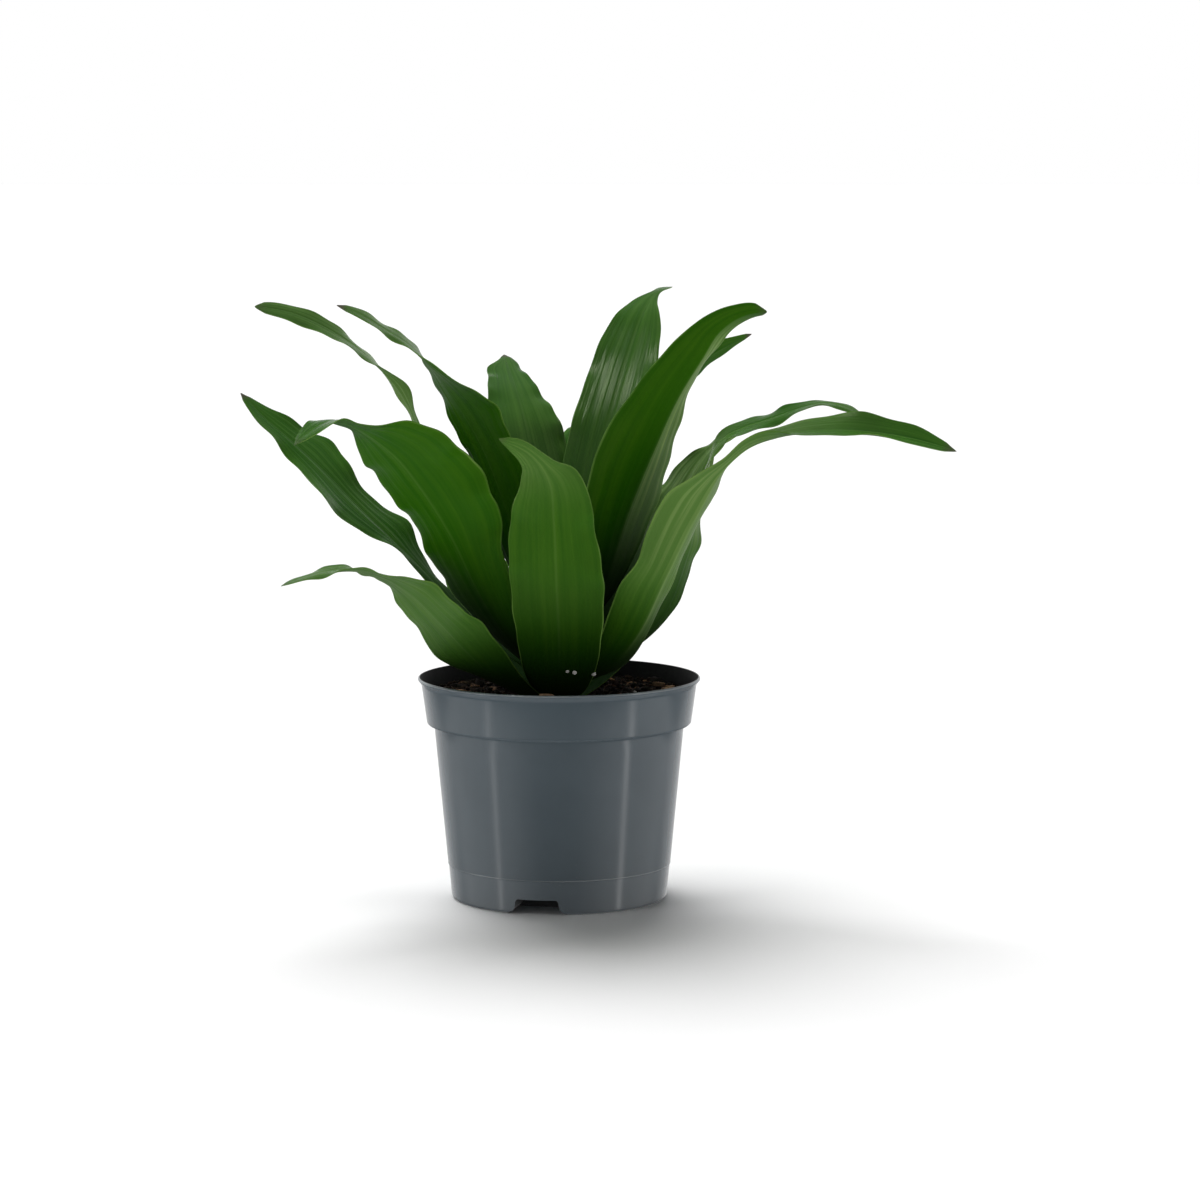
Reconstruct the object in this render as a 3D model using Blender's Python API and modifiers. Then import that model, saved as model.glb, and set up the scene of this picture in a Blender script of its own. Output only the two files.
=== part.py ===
"""Potted dracaena: a leaf rosette on a short cane, in the soil of a round nursery pot.

Each physical piece is one object. The origin is the middle of the pot's
underside, +Z is up, +X is to the right of the front view and -Y faces the
viewer. Lengths are in millimetres and become metres through MM; angles are in
degrees, counted from +X towards +Y.
"""
import math

import bmesh
import bpy
import numpy as np
from mathutils import Matrix

MM = 0.001
GAP = 0.3  # clearance between neighbouring pieces

# Pot: a turned, thin-walled shell
RIM_RADIUS = 60.0
POT_HEIGHT = 94.3
LIP_ROUNDING = 0.7
FLARE_DEPTH = 3.4  # the collar's top flares out to the lip over this depth
COLLAR_TOP_RADIUS = 58.4
COLLAR_FOOT_RADIUS = 56.3
COLLAR_FOOT = 74.6
COLLAR_ROUNDING = 1.0
SHOULDER_RADIUS = 53.1
BODY_FOOT_RADIUS = 47.5
PARTING_HEIGHT = 14.8
PARTING_STEP = 0.3
FOOT_RADIUS = 46.0
FOOT_ROUNDING = 1.4
WALL = 1.2
FLOOR = 1.5
MOUTH_RADIUS = 58.7
MOUTH_BEVEL = 0.3
POT_STEPS = 64

# Drain recesses: three flat-topped channels under the floor, each with a hole
DRAIN_AZIMUTHS = (-102.0, 18.0, 138.0)
DRAIN_HEIGHT = 6.4
DRAIN_SIDE = ((14.0, 0.0), (11.8, 0.5), (10.2, 1.3), (9.3, 2.8), (8.8, 5.4), (7.8, DRAIN_HEIGHT))
DRAIN_START = 27.0
DRAIN_END = 62.0
DRAIN_HOLE_RADIUS = 4.0
DRAIN_HOLE_AT = 35.0

# Soil: fills the pot, lower round the cane, with a crumbly top
SOIL_LEVEL = 86.9
SOIL_HOLLOW = 4.3
HOLLOW_INNER = 17.0
HOLLOW_OUTER = 30.0
CRUMB_HEIGHT = 0.5
SOIL_RINGS = (11.0, 14.0, 17.0, 20.5, 23.5, 26.5, 30.0, 34.0, 38.0, 42.0, 46.0, 50.0)
SOIL_STEPS = 48

# Cane, and the rolled youngest leaf on top of it
CANE_RADIUS = 8.0
CANE_FOOT = 60.0
CANE_SHOULDER = 110.0
CANE_TOP = 127.0
SPEAR_RADIUS = 4.6
SPEAR_LENGTH = 40.0
SPEAR_LEAN = 3.0

# Leaf blades: each one a grid bent along its midrib
LEAF_THICKNESS = 0.8
ROOT_RADIUS = 8.75  # from the cane's axis to the middle of a blade's thickness
LENGTH_CELLS = 30
WIDTH_CELLS = 4
SHEATH_LENGTH = 12.0  # this much of a blade wraps round the cane's axis
SHEATH_FADE = 45.0  # and then it opens out over this length
WAVE_START = 40.0
TIP_HALF_WIDTH = 0.8
PLAIN_CURL = ((0, 0.012), (1, 0.012))
NO_ROLL = ((0, 0), (1, 0))
NO_FOLD = ((0, 0), (1, 0))
NO_WAVE = (0.0, 4.0, 0.0, 0.0)
BACK_WIDTHS = ((0, 7), (0.12, 13), (0.3, 16.5), (0.5, 17.5), (0.65, 15.5), (0.8, 10.5), (0.92, 5), (1, 0.8))


def leaf(azimuth, root_height, midrib, widths, roll=NO_ROLL, curl=PLAIN_CURL, fold=NO_FOLD, wave=NO_WAVE):
    """Design of one blade.

    azimuth is the way it faces, root_height is where it leaves the cane, and
    midrib is the points it passes through. widths, roll, curl and fold are
    stations along the blade, from 0 at the cane to 1 at the tip: the width
    from the midrib to a margin, once for both margins or for each in turn,
    the turn about the midrib, one over the radius of the cross-section, and
    the slope of a V-shaped section. wave is the rise of the wavy margins, the
    waves along a blade, their start angle in radians, and the angle by which
    one margin leads the other.
    """
    return {
        "azimuth": azimuth,
        "root_height": root_height,
        "midrib": midrib,
        "widths": widths,
        "roll": roll,
        "curl": curl,
        "fold": fold,
        "wave": wave,
    }


# The rosette from its oldest, lowest leaf up
LEAVES = {
    # low, to the left, and turning level at its tip
    "leaf_01": leaf(
        212, 83.5,
        ((-15, -10, 88), (-26, -18, 96), (-37, -26, 107), (-49, -33, 121), (-61, -39, 134), (-73, -44, 142),
         (-86, -48, 145), (-98, -51, 144), (-114, -54, 139)),
        ((0, 7, 7), (0.12, 15, 12), (0.3, 20, 16), (0.48, 19, 18), (0.62, 16, 15), (0.75, 9, 9),
         (0.88, 6, 6), (0.95, 3.5, 3.5), (1, 1, 1)),
        roll=((0, 0), (0.15, 8), (0.3, 22), (0.48, 14), (0.62, 8), (0.8, 0), (1, 0)),
        wave=(1.4, 5, 0.9, 1.0)),
    # low, at the back right
    "leaf_02": leaf(
        45, 84.5,
        ((13, 13, 90), (20, 20, 98), (27, 28, 111), (34, 38, 128), (40, 50, 142), (45, 64, 150),
         (49, 80, 153), (52, 96, 149), (53, 107, 142)),
        BACK_WIDTHS, wave=(1.8, 5, 0.5, 1.5)),
    # broad, in the middle of the front, with a curled tip
    "leaf_03": leaf(
        268, 86.2,
        ((0, -17, 89), (0, -28, 98), (0, -38, 114), (-1, -50, 141), (-2, -60, 166), (-4, -70, 184),
         (-12, -80, 196), (-24, -87, 202)),
        ((0, 7, 7), (0.12, 14, 14), (0.3, 18, 18), (0.5, 19.5, 19), (0.6, 19, 16.5), (0.72, 15.5, 15),
         (0.78, 12.5, 11.5), (0.83, 9, 7), (0.88, 7, 4.5), (0.94, 4.5, 4), (1, 1, 1)),
        wave=(1.5, 5, 0.5, 1.5)),
    # low, at the back left
    "leaf_04": leaf(
        132, 86.4,
        ((-13, 14, 92), (-21, 25, 100), (-29, 37, 112), (-35, 49, 126), (-40, 62, 138), (-44, 76, 146),
         (-48, 90, 149), (-51, 104, 145), (-53, 115, 137)),
        BACK_WIDTHS, wave=(1.8, 5, 2.5, 1.5)),
    # to the front right, folded, with a narrow waist and a long level tip
    "leaf_05": leaf(
        316, 90.6,
        ((11, -10, 94), (19, -17, 99), (31, -29, 114), (44, -43, 142), (56, -54, 168), (69, -62, 190),
         (78, -66, 197.5), (89, -68, 201.5), (109, -71, 204), (125, -73, 203.5), (142, -76, 201),
         (160, -78, 196)),
        ((0, 7, 7), (0.1, 12, 12), (0.2, 13.5, 10), (0.28, 15, 8), (0.35, 15, 8.5), (0.4, 15.5, 12),
         (0.45, 16, 14), (0.5, 14.5, 13.5), (0.54, 10, 10), (0.58, 5, 6), (0.63, 6, 5), (0.7, 9, 7),
         (0.78, 7.5, 8.5), (0.87, 7, 6.8), (0.93, 5.5, 6), (0.97, 3.5, 3.5), (1, 1, 1)),
        roll=((0, 0), (0.5, 0), (0.62, 15), (0.75, 24), (1, 20)),
        curl=((0, 0.03), (0.5, 0.03), (0.7, 0.03), (1, 0.03)),
        fold=((0, 0.35), (0.6, 0.35), (0.8, 0.3), (1, 0.3)), wave=(1.4, 4.5, 2.2, 0.5)),
    # low, straight to the back
    "leaf_06": leaf(
        92, 90.4,
        ((-1, 17, 94), (-1, 25, 104), (-2, 35, 122), (-3, 47, 144), (-5, 61, 160), (-7, 78, 170),
         (-9, 97, 173), (-10, 113, 168)),
        BACK_WIDTHS, wave=(1.8, 5, 1.5, 1.5)),
    # to the right, behind leaf_05, arching over it
    "leaf_07": leaf(
        338, 92.5,
        ((13, -5, 97), (22, -8, 102), (32, -12, 111), (43, -18, 128), (50, -22, 148), (56, -25, 168),
         (61, -27, 184), (65, -29, 194), (70, -30, 199), (76, -32, 202), (84, -35, 205), (92, -38, 208),
         (100, -40, 211), (109, -42, 213), (119, -45, 211), (127, -48, 205)),
        ((0, 7, 7), (0.12, 13, 13), (0.3, 17, 17), (0.45, 14, 15), (0.57, 8, 7), (0.63, 5, 4),
         (0.7, 8, 7.5), (0.78, 5.5, 6), (0.86, 4.5, 5), (0.94, 3.5, 3.5), (1, 1, 1)),
        roll=((0, 0), (0.5, 0), (0.64, 24), (0.75, 28), (0.86, 18), (1, 5)), wave=(1.2, 6, 0.0, 2.0)),
    # far to the left, showing its upper face
    "leaf_08": leaf(
        160, 92.8,
        ((-15, 5, 99), (-28, 9, 108), (-42, 14, 120), (-55, 18, 134), (-69, 22, 148), (-86, 27, 164),
         (-103, 32, 181), (-118, 38, 194), (-129, 43, 203), (-138, 48, 212)),
        ((0, 7, 7), (0.12, 9, 9), (0.25, 7, 7), (0.36, 7, 4), (0.43, 9.5, 4.5), (0.5, 16, 8.5),
         (0.58, 13, 15), (0.65, 11, 18), (0.71, 14, 14), (0.78, 17.5, 10), (0.84, 12, 8), (0.9, 8.5, 6.5),
         (0.96, 4, 3), (1, 0.8, 0.8)),
        roll=((0, 0), (0.25, 0), (0.4, -8), (0.6, -15), (1, -20)), wave=(1.4, 4.5, 1.0, 0.5)),
    # broad, to the front left, with a tip that droops
    "leaf_09": leaf(
        226, 95.8,
        ((-13, -13, 103), (-23, -24, 116), (-33, -33, 134), (-45, -44, 160), (-56, -55, 179),
         (-66, -64, 193), (-76, -71, 202), (-84, -77, 207), (-90, -83, 209), (-95, -88, 207.5),
         (-101, -92, 203.5), (-105, -95, 200)),
        ((0, 7, 7), (0.12, 13, 13), (0.3, 17, 17), (0.42, 16, 21), (0.5, 15, 26), (0.58, 15.5, 27),
         (0.64, 18, 26), (0.7, 17, 26), (0.75, 13.5, 21), (0.8, 10, 14.5), (0.86, 8.5, 9), (0.91, 8, 8),
         (0.95, 5.5, 5.5), (1, 1, 1)),
        roll=((0, 0), (0.2, 0), (0.4, 15), (0.72, 15), (0.83, 3), (1, 0)), wave=(1.4, 5, 0.5, 1.5)),
    # to the right, half hidden
    "leaf_10": leaf(
        22, 99.2,
        ((12, 5, 109), (21, 8, 119), (33, 13, 136), (44, 19, 156), (53, 26, 172), (61, 31, 184),
         (68, 35, 191), (75, 39, 195), (83, 43, 199)),
        ((0, 6.5, 6.5), (0.12, 11, 11), (0.4, 17, 17), (0.62, 16, 15), (0.74, 11, 10), (0.82, 6, 4),
         (0.92, 4, 4), (1, 1, 1)),
        roll=((0, 0), (0.4, 0), (0.7, 15), (1, 10)), wave=(1.2, 5, 0.5, 1.5)),
    # narrow, arching far to the upper left
    "leaf_11": leaf(
        188, 99.5,
        ((-13, -2, 109), (-27, -4, 121), (-41, -7, 138), (-51, -11, 158), (-57, -14, 180),
         (-58.5, -16, 200), (-66, -19, 217), (-79, -22, 231), (-95, -26, 242.5), (-110, -30, 249.5),
         (-125, -34, 252.5)),
        ((0, 6.5), (0.12, 11), (0.3, 13), (0.5, 10), (0.6, 6), (0.66, 7), (0.72, 6.5), (0.85, 5.6),
         (0.94, 4.4), (0.98, 3), (1, 1.8)),
        roll=((0, 0), (0.3, 6), (0.56, 6), (0.62, 10), (0.67, 18), (0.73, -4), (0.8, -22), (0.9, -38),
              (1, -45)),
        wave=(0.8, 6, 0.5, 1.5)),
    # to the back, above leaf_06
    "leaf_12": leaf(
        75, 103.2,
        ((3, 12, 111), (5, 18, 124), (8, 27, 145), (11, 39, 167), (14, 53, 184), (17, 69, 195),
         (20, 87, 199), (22, 103, 194)),
        ((0, 6.5), (0.12, 11), (0.3, 15), (0.5, 17), (0.65, 16), (0.8, 11), (0.92, 5), (1, 0.8)),
        wave=(1.5, 5, 3.5, 1.5)),
    # upright to the left, turning over at two thirds of its length
    "leaf_13": leaf(
        210, 104,
        ((-10, -6, 116), (-14, -11, 140), (-22, -19, 168), (-33, -28, 197), (-44, -36, 216),
         (-54, -43, 230), (-61, -47, 237), (-70, -51, 243), (-81, -55, 250), (-90, -57, 254)),
        ((0, 6, 6), (0.12, 10, 10), (0.35, 13, 16), (0.46, 12, 17), (0.55, 12, 18), (0.61, 13, 21),
         (0.67, 13, 22), (0.72, 10, 19), (0.76, 8, 8), (0.8, 7, 5), (0.85, 7.5, 4), (0.93, 7, 4),
         (0.98, 2.5, 2), (1, 1, 1)),
        roll=((0, 0), (0.66, 0), (0.77, -20), (0.85, -30), (1, -35)), wave=(0.8, 6, 2.5, 1.5)),
    # upright to the right, folded along its midrib
    "leaf_14": leaf(
        318, 106.5,
        ((9, -9, 114), (18, -15, 133), (28, -22, 165), (40, -29, 195), (50, -35, 217), (59, -40, 232),
         (65.5, -45, 242.5), (75, -51, 249.5), (84.5, -57, 251.5)),
        ((0, 6, 6), (0.12, 12, 12), (0.3, 20, 19), (0.45, 23.5, 20), (0.6, 19.5, 11), (0.75, 13.5, 6.5),
         (0.86, 8.5, 5), (0.93, 5.5, 4), (0.98, 3.8, 3), (1, 2, 2)),
        roll=((0, 0), (0.3, -4), (0.6, -10), (0.78, -14), (0.9, -34), (1, -42)),
        curl=((0, 0.02), (0.5, 0.014), (1, 0.014)),
        fold=((0, 0.1), (0.45, 0.12), (0.6, 0.3), (0.75, 0.45), (1, 0.35)), wave=(0.8, 4, 0.5, 1.5)),
    # upright to the right, behind leaf_14
    "leaf_15": leaf(
        25, 109.5,
        ((12, 5, 121), (22, 9, 145), (34, 14, 175), (48, 19, 207), (61, 23, 227), (73, 28, 234),
         (83, 33, 238)),
        ((0, 6, 6), (0.12, 10, 10), (0.4, 14, 14), (0.65, 12, 12), (0.8, 9.5, 8), (0.9, 7.5, 3.5),
         (0.96, 4.5, 2), (1, 1, 1))),
    # upright to the back, left of the middle, with a torn tip
    "leaf_16": leaf(
        108, 114,
        ((-4, 11, 124), (-6, 15, 150), (-10, 21, 180), (-14, 30, 199), (-18, 45, 212), (-21, 61, 220),
         (-24, 77, 227)),
        ((0, 6, 6), (0.12, 11, 11), (0.4, 17, 18), (0.6, 15, 17), (0.78, 9.5, 12.5), (0.86, 6.5, 10.5),
         (0.905, 5, 9.5), (0.94, 4.5, 5.5), (0.97, 3, 2.5), (1, 1, 1)),
        wave=(0.8, 5, 0.5, 1.5)),
    # the tallest, upright to the back, right of the middle
    "leaf_17": leaf(
        72, 119,
        ((5, 9, 128), (10, 10, 155), (16, 14, 182), (23, 23, 207), (31, 38, 232), (38, 52, 249),
         (43, 62, 255), (50, 74, 257)),
        ((0, 6, 6), (0.12, 11, 11), (0.4, 15, 15), (0.6, 15, 15), (0.75, 12, 13), (0.82, 8, 10.5),
         (0.87, 3.5, 7.5), (0.915, 1.5, 2.5), (0.96, 2.2, 2.5), (1, 0.8, 0.8)),
        wave=(0.6, 4, 0.5, 1.5)),
}

# Bark chips on the soil: place, length, width and height, turn, and tilt
CHIPS = {
    "bark_chip_1": ((-5, -45), (7.0, 4.0, 5.5), 20, 8),
    "bark_chip_2": ((-20, -44), (3.6, 3.0, 4.8), 60, 5),
    "bark_chip_3": ((43, 12), (5.5, 3.2, 2.2), -15, 4),
    "bark_chip_4": ((48, 2), (5.0, 3.4, 2.4), 70, 6),
    "bark_chip_5": ((45, -12), (10.0, 5.0, 3.2), 105, 10),
    "bark_chip_6": ((-42, -8), (8.0, 3.6, 2.0), 35, 3),
    "bark_chip_7": ((-8, 47), (7.0, 4.4, 2.6), -30, 5),
    "bark_chip_8": ((30, -38), (6.0, 3.6, 2.2), 10, 4),
}
CHIP_BEVEL = 0.5
CHIP_CLEARANCE = 0.45

# Linear colours and roughness of each material
FINISHES = {
    "pot": ((0.071, 0.094, 0.112), 0.32),
    "soil": ((0.020, 0.013, 0.009), 0.95),
    "cane": ((0.130, 0.150, 0.060), 0.70),
    "leaf": ((0.026, 0.092, 0.016), 0.38),
    "bark": ((0.330, 0.200, 0.120), 0.85),
}


def clear_scene():
    for item in list(bpy.data.objects):
        bpy.data.objects.remove(item, do_unlink=True)


def new_collection(name):
    collection = bpy.data.collections.new(name)
    bpy.context.scene.collection.children.link(collection)
    return collection


def new_material(name):
    colour, roughness = FINISHES[name]
    material = bpy.data.materials.new(name)
    material.use_nodes = True
    shader = material.node_tree.nodes["Principled BSDF"]
    shader.inputs["Base Color"].default_value = (*colour, 1.0)
    shader.inputs["Roughness"].default_value = roughness
    shader.inputs["Metallic"].default_value = 0.0
    return material


def new_object(name, mesh, collection, material=None, parent=None):
    item = bpy.data.objects.new(name, mesh)
    collection.objects.link(item)
    item.parent = parent
    if material:
        mesh.materials.append(material)
    return item


def mesh_from(name, shape):
    mesh = bpy.data.meshes.new(name)
    shape.to_mesh(mesh)
    shape.free()
    return mesh


def applied_mesh(item):
    """The object's mesh with its modifiers applied; the object is removed."""
    bpy.context.view_layer.update()
    graph = bpy.context.evaluated_depsgraph_get()
    mesh = bpy.data.meshes.new_from_object(item.evaluated_get(graph), depsgraph=graph)
    bpy.data.objects.remove(item, do_unlink=True)
    return mesh


def arc(centre, radius, start, end, steps):
    """Points (r, z) on a round corner, both ends included."""
    angles = np.radians(np.linspace(start, end, steps + 1))
    return [(centre[0] + radius * math.cos(a), centre[1] + radius * math.sin(a)) for a in angles]


def turned(name, outline, steps, collection, material=None, parent=None):
    """Solid of revolution from an outline (r, z) in millimetres, axis to axis, top to bottom."""
    shape = bmesh.new()
    points = [shape.verts.new((r * MM, 0.0, z * MM)) for r, z in outline]
    for upper, lower in zip(points, points[1:]):
        shape.edges.new((upper, lower))
    item = new_object(name, mesh_from(name, shape), collection, material, parent)
    screw = item.modifiers.new("turn", "SCREW")
    screw.steps = steps
    screw.render_steps = steps
    screw.use_merge_vertices = True
    screw.merge_threshold = 0.00001
    screw.use_smooth_shade = True
    return item


def cut(item, cutter):
    boolean = item.modifiers.new("cut", "BOOLEAN")
    boolean.operation = "DIFFERENCE"
    boolean.solver = "EXACT"
    boolean.object = cutter


def hide(item):
    item.hide_render = True
    item.display_type = "WIRE"


def smooth_step(value, start, end):
    share = np.clip((value - start) / (end - start), 0.0, 1.0)
    return share * share * (3.0 - 2.0 * share)


def smooth_through(places, values, at):
    """Smooth curve through the values given at increasing places, read at other places."""
    places = np.asarray(places, dtype=float)
    values = np.asarray(values, dtype=float).reshape(len(places), -1)
    step = np.diff(places)[:, None]
    slope = np.diff(values, axis=0) / step
    tangent = np.repeat(slope[:1], len(places), axis=0)
    if len(places) > 2:
        tangent[1:-1] = (slope[:-1] * step[1:] + slope[1:] * step[:-1]) / (step[1:] + step[:-1])
        tangent[0] = 1.5 * slope[0] - 0.5 * tangent[1]
        tangent[-1] = 1.5 * slope[-1] - 0.5 * tangent[-2]
    cell = np.clip(np.searchsorted(places, at, side="right") - 1, 0, len(places) - 2)
    share = ((at - places[cell]) / np.diff(places)[cell])[:, None]
    width = step[cell]
    return (values[cell] * (2 * share**3 - 3 * share**2 + 1)
            + tangent[cell] * width * (share**3 - 2 * share**2 + share)
            + values[cell + 1] * (3 * share**2 - 2 * share**3)
            + tangent[cell + 1] * width * (share**3 - share**2))


def station(stations, at):
    return smooth_through([entry[0] for entry in stations], [entry[1:] for entry in stations], at)[:, 0]


def width_at(stations, along, across):
    """Width from the midrib to the margin on each point's own side."""
    sides = smooth_through([entry[0] for entry in stations], [entry[1:] for entry in stations], along)
    return np.maximum(np.where(across < 0.0, sides[:, 0], sides[:, -1]), TIP_HALF_WIDTH)


def inner_wall():
    """Outline (r, z) of the pot's inside, from the mouth down to the floor's edge."""
    return [
        (MOUTH_RADIUS, POT_HEIGHT),
        (MOUTH_RADIUS - MOUTH_BEVEL, POT_HEIGHT - LIP_ROUNDING),
        (COLLAR_TOP_RADIUS - WALL, POT_HEIGHT - FLARE_DEPTH),
        (COLLAR_FOOT_RADIUS - WALL, COLLAR_FOOT + 2.0 * WALL),
        (SHOULDER_RADIUS - WALL, COLLAR_FOOT + 0.5 * WALL),
        (BODY_FOOT_RADIUS - WALL, PARTING_HEIGHT),
        (FOOT_RADIUS - 2 * WALL, FLOOR + WALL),
        (FOOT_RADIUS - 3 * WALL, FLOOR),
    ]


def inner_radius(height):
    radii, heights = zip(*reversed(inner_wall()))
    return float(np.interp(height, heights, radii))


def drain_channels(name, grow, collection):
    """Three channels with the section of the drain recesses, each side moved out by grow.

    One side of the section is the points (half width, height) of DRAIN_SIDE,
    carried on below the pot's underside, and the other side is its mirror.
    """
    below = -5.0
    side = [(DRAIN_SIDE[0][0], below), *DRAIN_SIDE[:-1], (DRAIN_SIDE[-1][0], DRAIN_HEIGHT + grow)]
    section = [(half + grow, height) for half, height in side]
    section += [(-half, height) for half, height in reversed(section)]
    shape = bmesh.new()
    for azimuth in DRAIN_AZIMUTHS:
        inner, outer = (
            [shape.verts.new((along * MM, half * MM, height * MM)) for half, height in section]
            for along in (DRAIN_START - grow, DRAIN_END))
        shape.faces.new(reversed(inner))
        shape.faces.new(outer)
        for index in range(len(section)):
            shape.faces.new((inner[index - 1], inner[index], outer[index], outer[index - 1]))
        turn = Matrix.Rotation(math.radians(azimuth), 3, "Z")
        bmesh.ops.rotate(shape, verts=inner + outer, cent=(0, 0, 0), matrix=turn)
    bmesh.ops.recalc_face_normals(shape, faces=shape.faces)
    item = new_object(name, mesh_from(name, shape), collection)
    hide(item)
    return item


def drain_holes(collection):
    """Three round pegs that cut the holes in the roofs of the drain recesses."""
    shape = bmesh.new()
    middle = (DRAIN_HEIGHT + 0.5 * FLOOR) * MM
    for azimuth in DRAIN_AZIMUTHS:
        angle = math.radians(azimuth)
        place = (DRAIN_HOLE_AT * MM * math.cos(angle), DRAIN_HOLE_AT * MM * math.sin(angle), middle)
        bmesh.ops.create_cone(
            shape, cap_ends=True, segments=20, radius1=DRAIN_HOLE_RADIUS * MM,
            radius2=DRAIN_HOLE_RADIUS * MM, depth=4 * FLOOR * MM, matrix=Matrix.Translation(place))
    item = new_object("drain_holes", mesh_from("drain_holes", shape), collection)
    hide(item)
    return item


def build_pot(parts, cutters, material, parent):
    lip = (RIM_RADIUS - LIP_ROUNDING, POT_HEIGHT - LIP_ROUNDING)
    collar_edge = (COLLAR_FOOT_RADIUS - COLLAR_ROUNDING, COLLAR_FOOT + COLLAR_ROUNDING)
    foot = (FOOT_RADIUS - FOOT_ROUNDING, FOOT_ROUNDING)
    outline = [(0.0, POT_HEIGHT)]
    outline += arc(lip, LIP_ROUNDING, 90, -35, 4)
    outline += [(COLLAR_TOP_RADIUS, POT_HEIGHT - FLARE_DEPTH)]
    outline += arc(collar_edge, COLLAR_ROUNDING, 0, -80, 3)
    outline += [(SHOULDER_RADIUS + 0.5, COLLAR_FOOT - 0.2)]
    outline += [(SHOULDER_RADIUS, COLLAR_FOOT - 1.0)]
    outline += [(BODY_FOOT_RADIUS, PARTING_HEIGHT)]
    outline += [(BODY_FOOT_RADIUS - PARTING_STEP, PARTING_HEIGHT - 0.4)]
    outline += arc(foot, FOOT_ROUNDING, 0, -90, 4)
    outline += [(0.0, 0.0)]
    pot = turned("pot", outline, POT_STEPS, parts, material, parent)

    above = POT_HEIGHT + 3.0
    hollow = [(0.0, above), (MOUTH_RADIUS, above)] + inner_wall() + [(0.0, FLOOR)]
    cavity = turned("pot_cavity", hollow, POT_STEPS, cutters)
    hide(cavity)
    cut(cavity, drain_channels("drain_roofs", WALL, cutters))

    cut(pot, cavity)
    cut(pot, drain_channels("drain_recesses", 0.0, cutters))
    cut(pot, drain_holes(cutters))


def soil_height(x, y):
    """Height of the soil's crumbly top at a place given in millimetres."""
    radius = np.hypot(x, y)
    ripple = np.sin(0.61 * x + 0.35 * y) + np.sin(0.47 * y - 0.52 * x + 1.1)
    ripple = ripple + 0.7 * np.sin(0.93 * y + 0.21 * x)
    hollow = SOIL_HOLLOW * (1.0 - smooth_step(radius, HOLLOW_INNER, HOLLOW_OUTER))
    return SOIL_LEVEL - hollow + CRUMB_HEIGHT * ripple / 2.7


def build_soil(parts, cutters, material, parent):
    hole = CANE_RADIUS + GAP
    edge = inner_radius(SOIL_LEVEL) - GAP
    rings = [(radius, SOIL_LEVEL) for radius in (hole, *SOIL_RINGS, edge)]
    wall = [(radius - GAP, height) for radius, height in inner_wall() if height < SOIL_LEVEL - 5.0]
    wall[-1] = (wall[-1][0], FLOOR + GAP)
    outline = [(0.0, CANE_FOOT - GAP), (hole, CANE_FOOT - GAP)] + rings + wall + [(0.0, FLOOR + GAP)]
    mesh = applied_mesh(turned("soil_core", outline, SOIL_STEPS, cutters))
    for vert in mesh.vertices:
        if abs(vert.co.z - SOIL_LEVEL * MM) < GAP * MM:
            vert.co.z = soil_height(vert.co.x / MM, vert.co.y / MM) * MM
    mesh.name = "soil"
    soil = new_object("soil", mesh, parts, material, parent)
    cut(soil, drain_channels("soil_recesses", WALL + GAP, cutters))


def build_cane(parts, material, parent):
    dome = [(0.0, CANE_TOP), (3.0, CANE_TOP - 0.4), (5.8, CANE_TOP - 3.0), (7.3, CANE_TOP - 7.0)]
    stem = [(CANE_RADIUS, CANE_SHOULDER), (CANE_RADIUS, CANE_FOOT + 6.0), (7.4, CANE_FOOT), (0.0, CANE_FOOT)]
    turned("cane", dome + stem, 24, parts, material, parent)


def build_spear(parts, material, parent):
    tip = [(0.0, SPEAR_LENGTH), (0.5, 0.98 * SPEAR_LENGTH), (1.8, 0.80 * SPEAR_LENGTH)]
    middle = [(3.6, 0.50 * SPEAR_LENGTH), (SPEAR_RADIUS, 0.2 * SPEAR_LENGTH)]
    base = [(4.2, 2.0), (2.6, 0.0), (0.0, 0.0)]
    spear = turned("spear", tip + middle + base, 20, parts, material, parent)
    lift = SPEAR_RADIUS * math.sin(math.radians(SPEAR_LEAN))
    spear.location = (0.0, 0.0, (CANE_TOP + GAP + 0.5 * lift) * MM)
    spear.rotation_euler = (0.0, math.radians(SPEAR_LEAN), 0.0)


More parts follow.
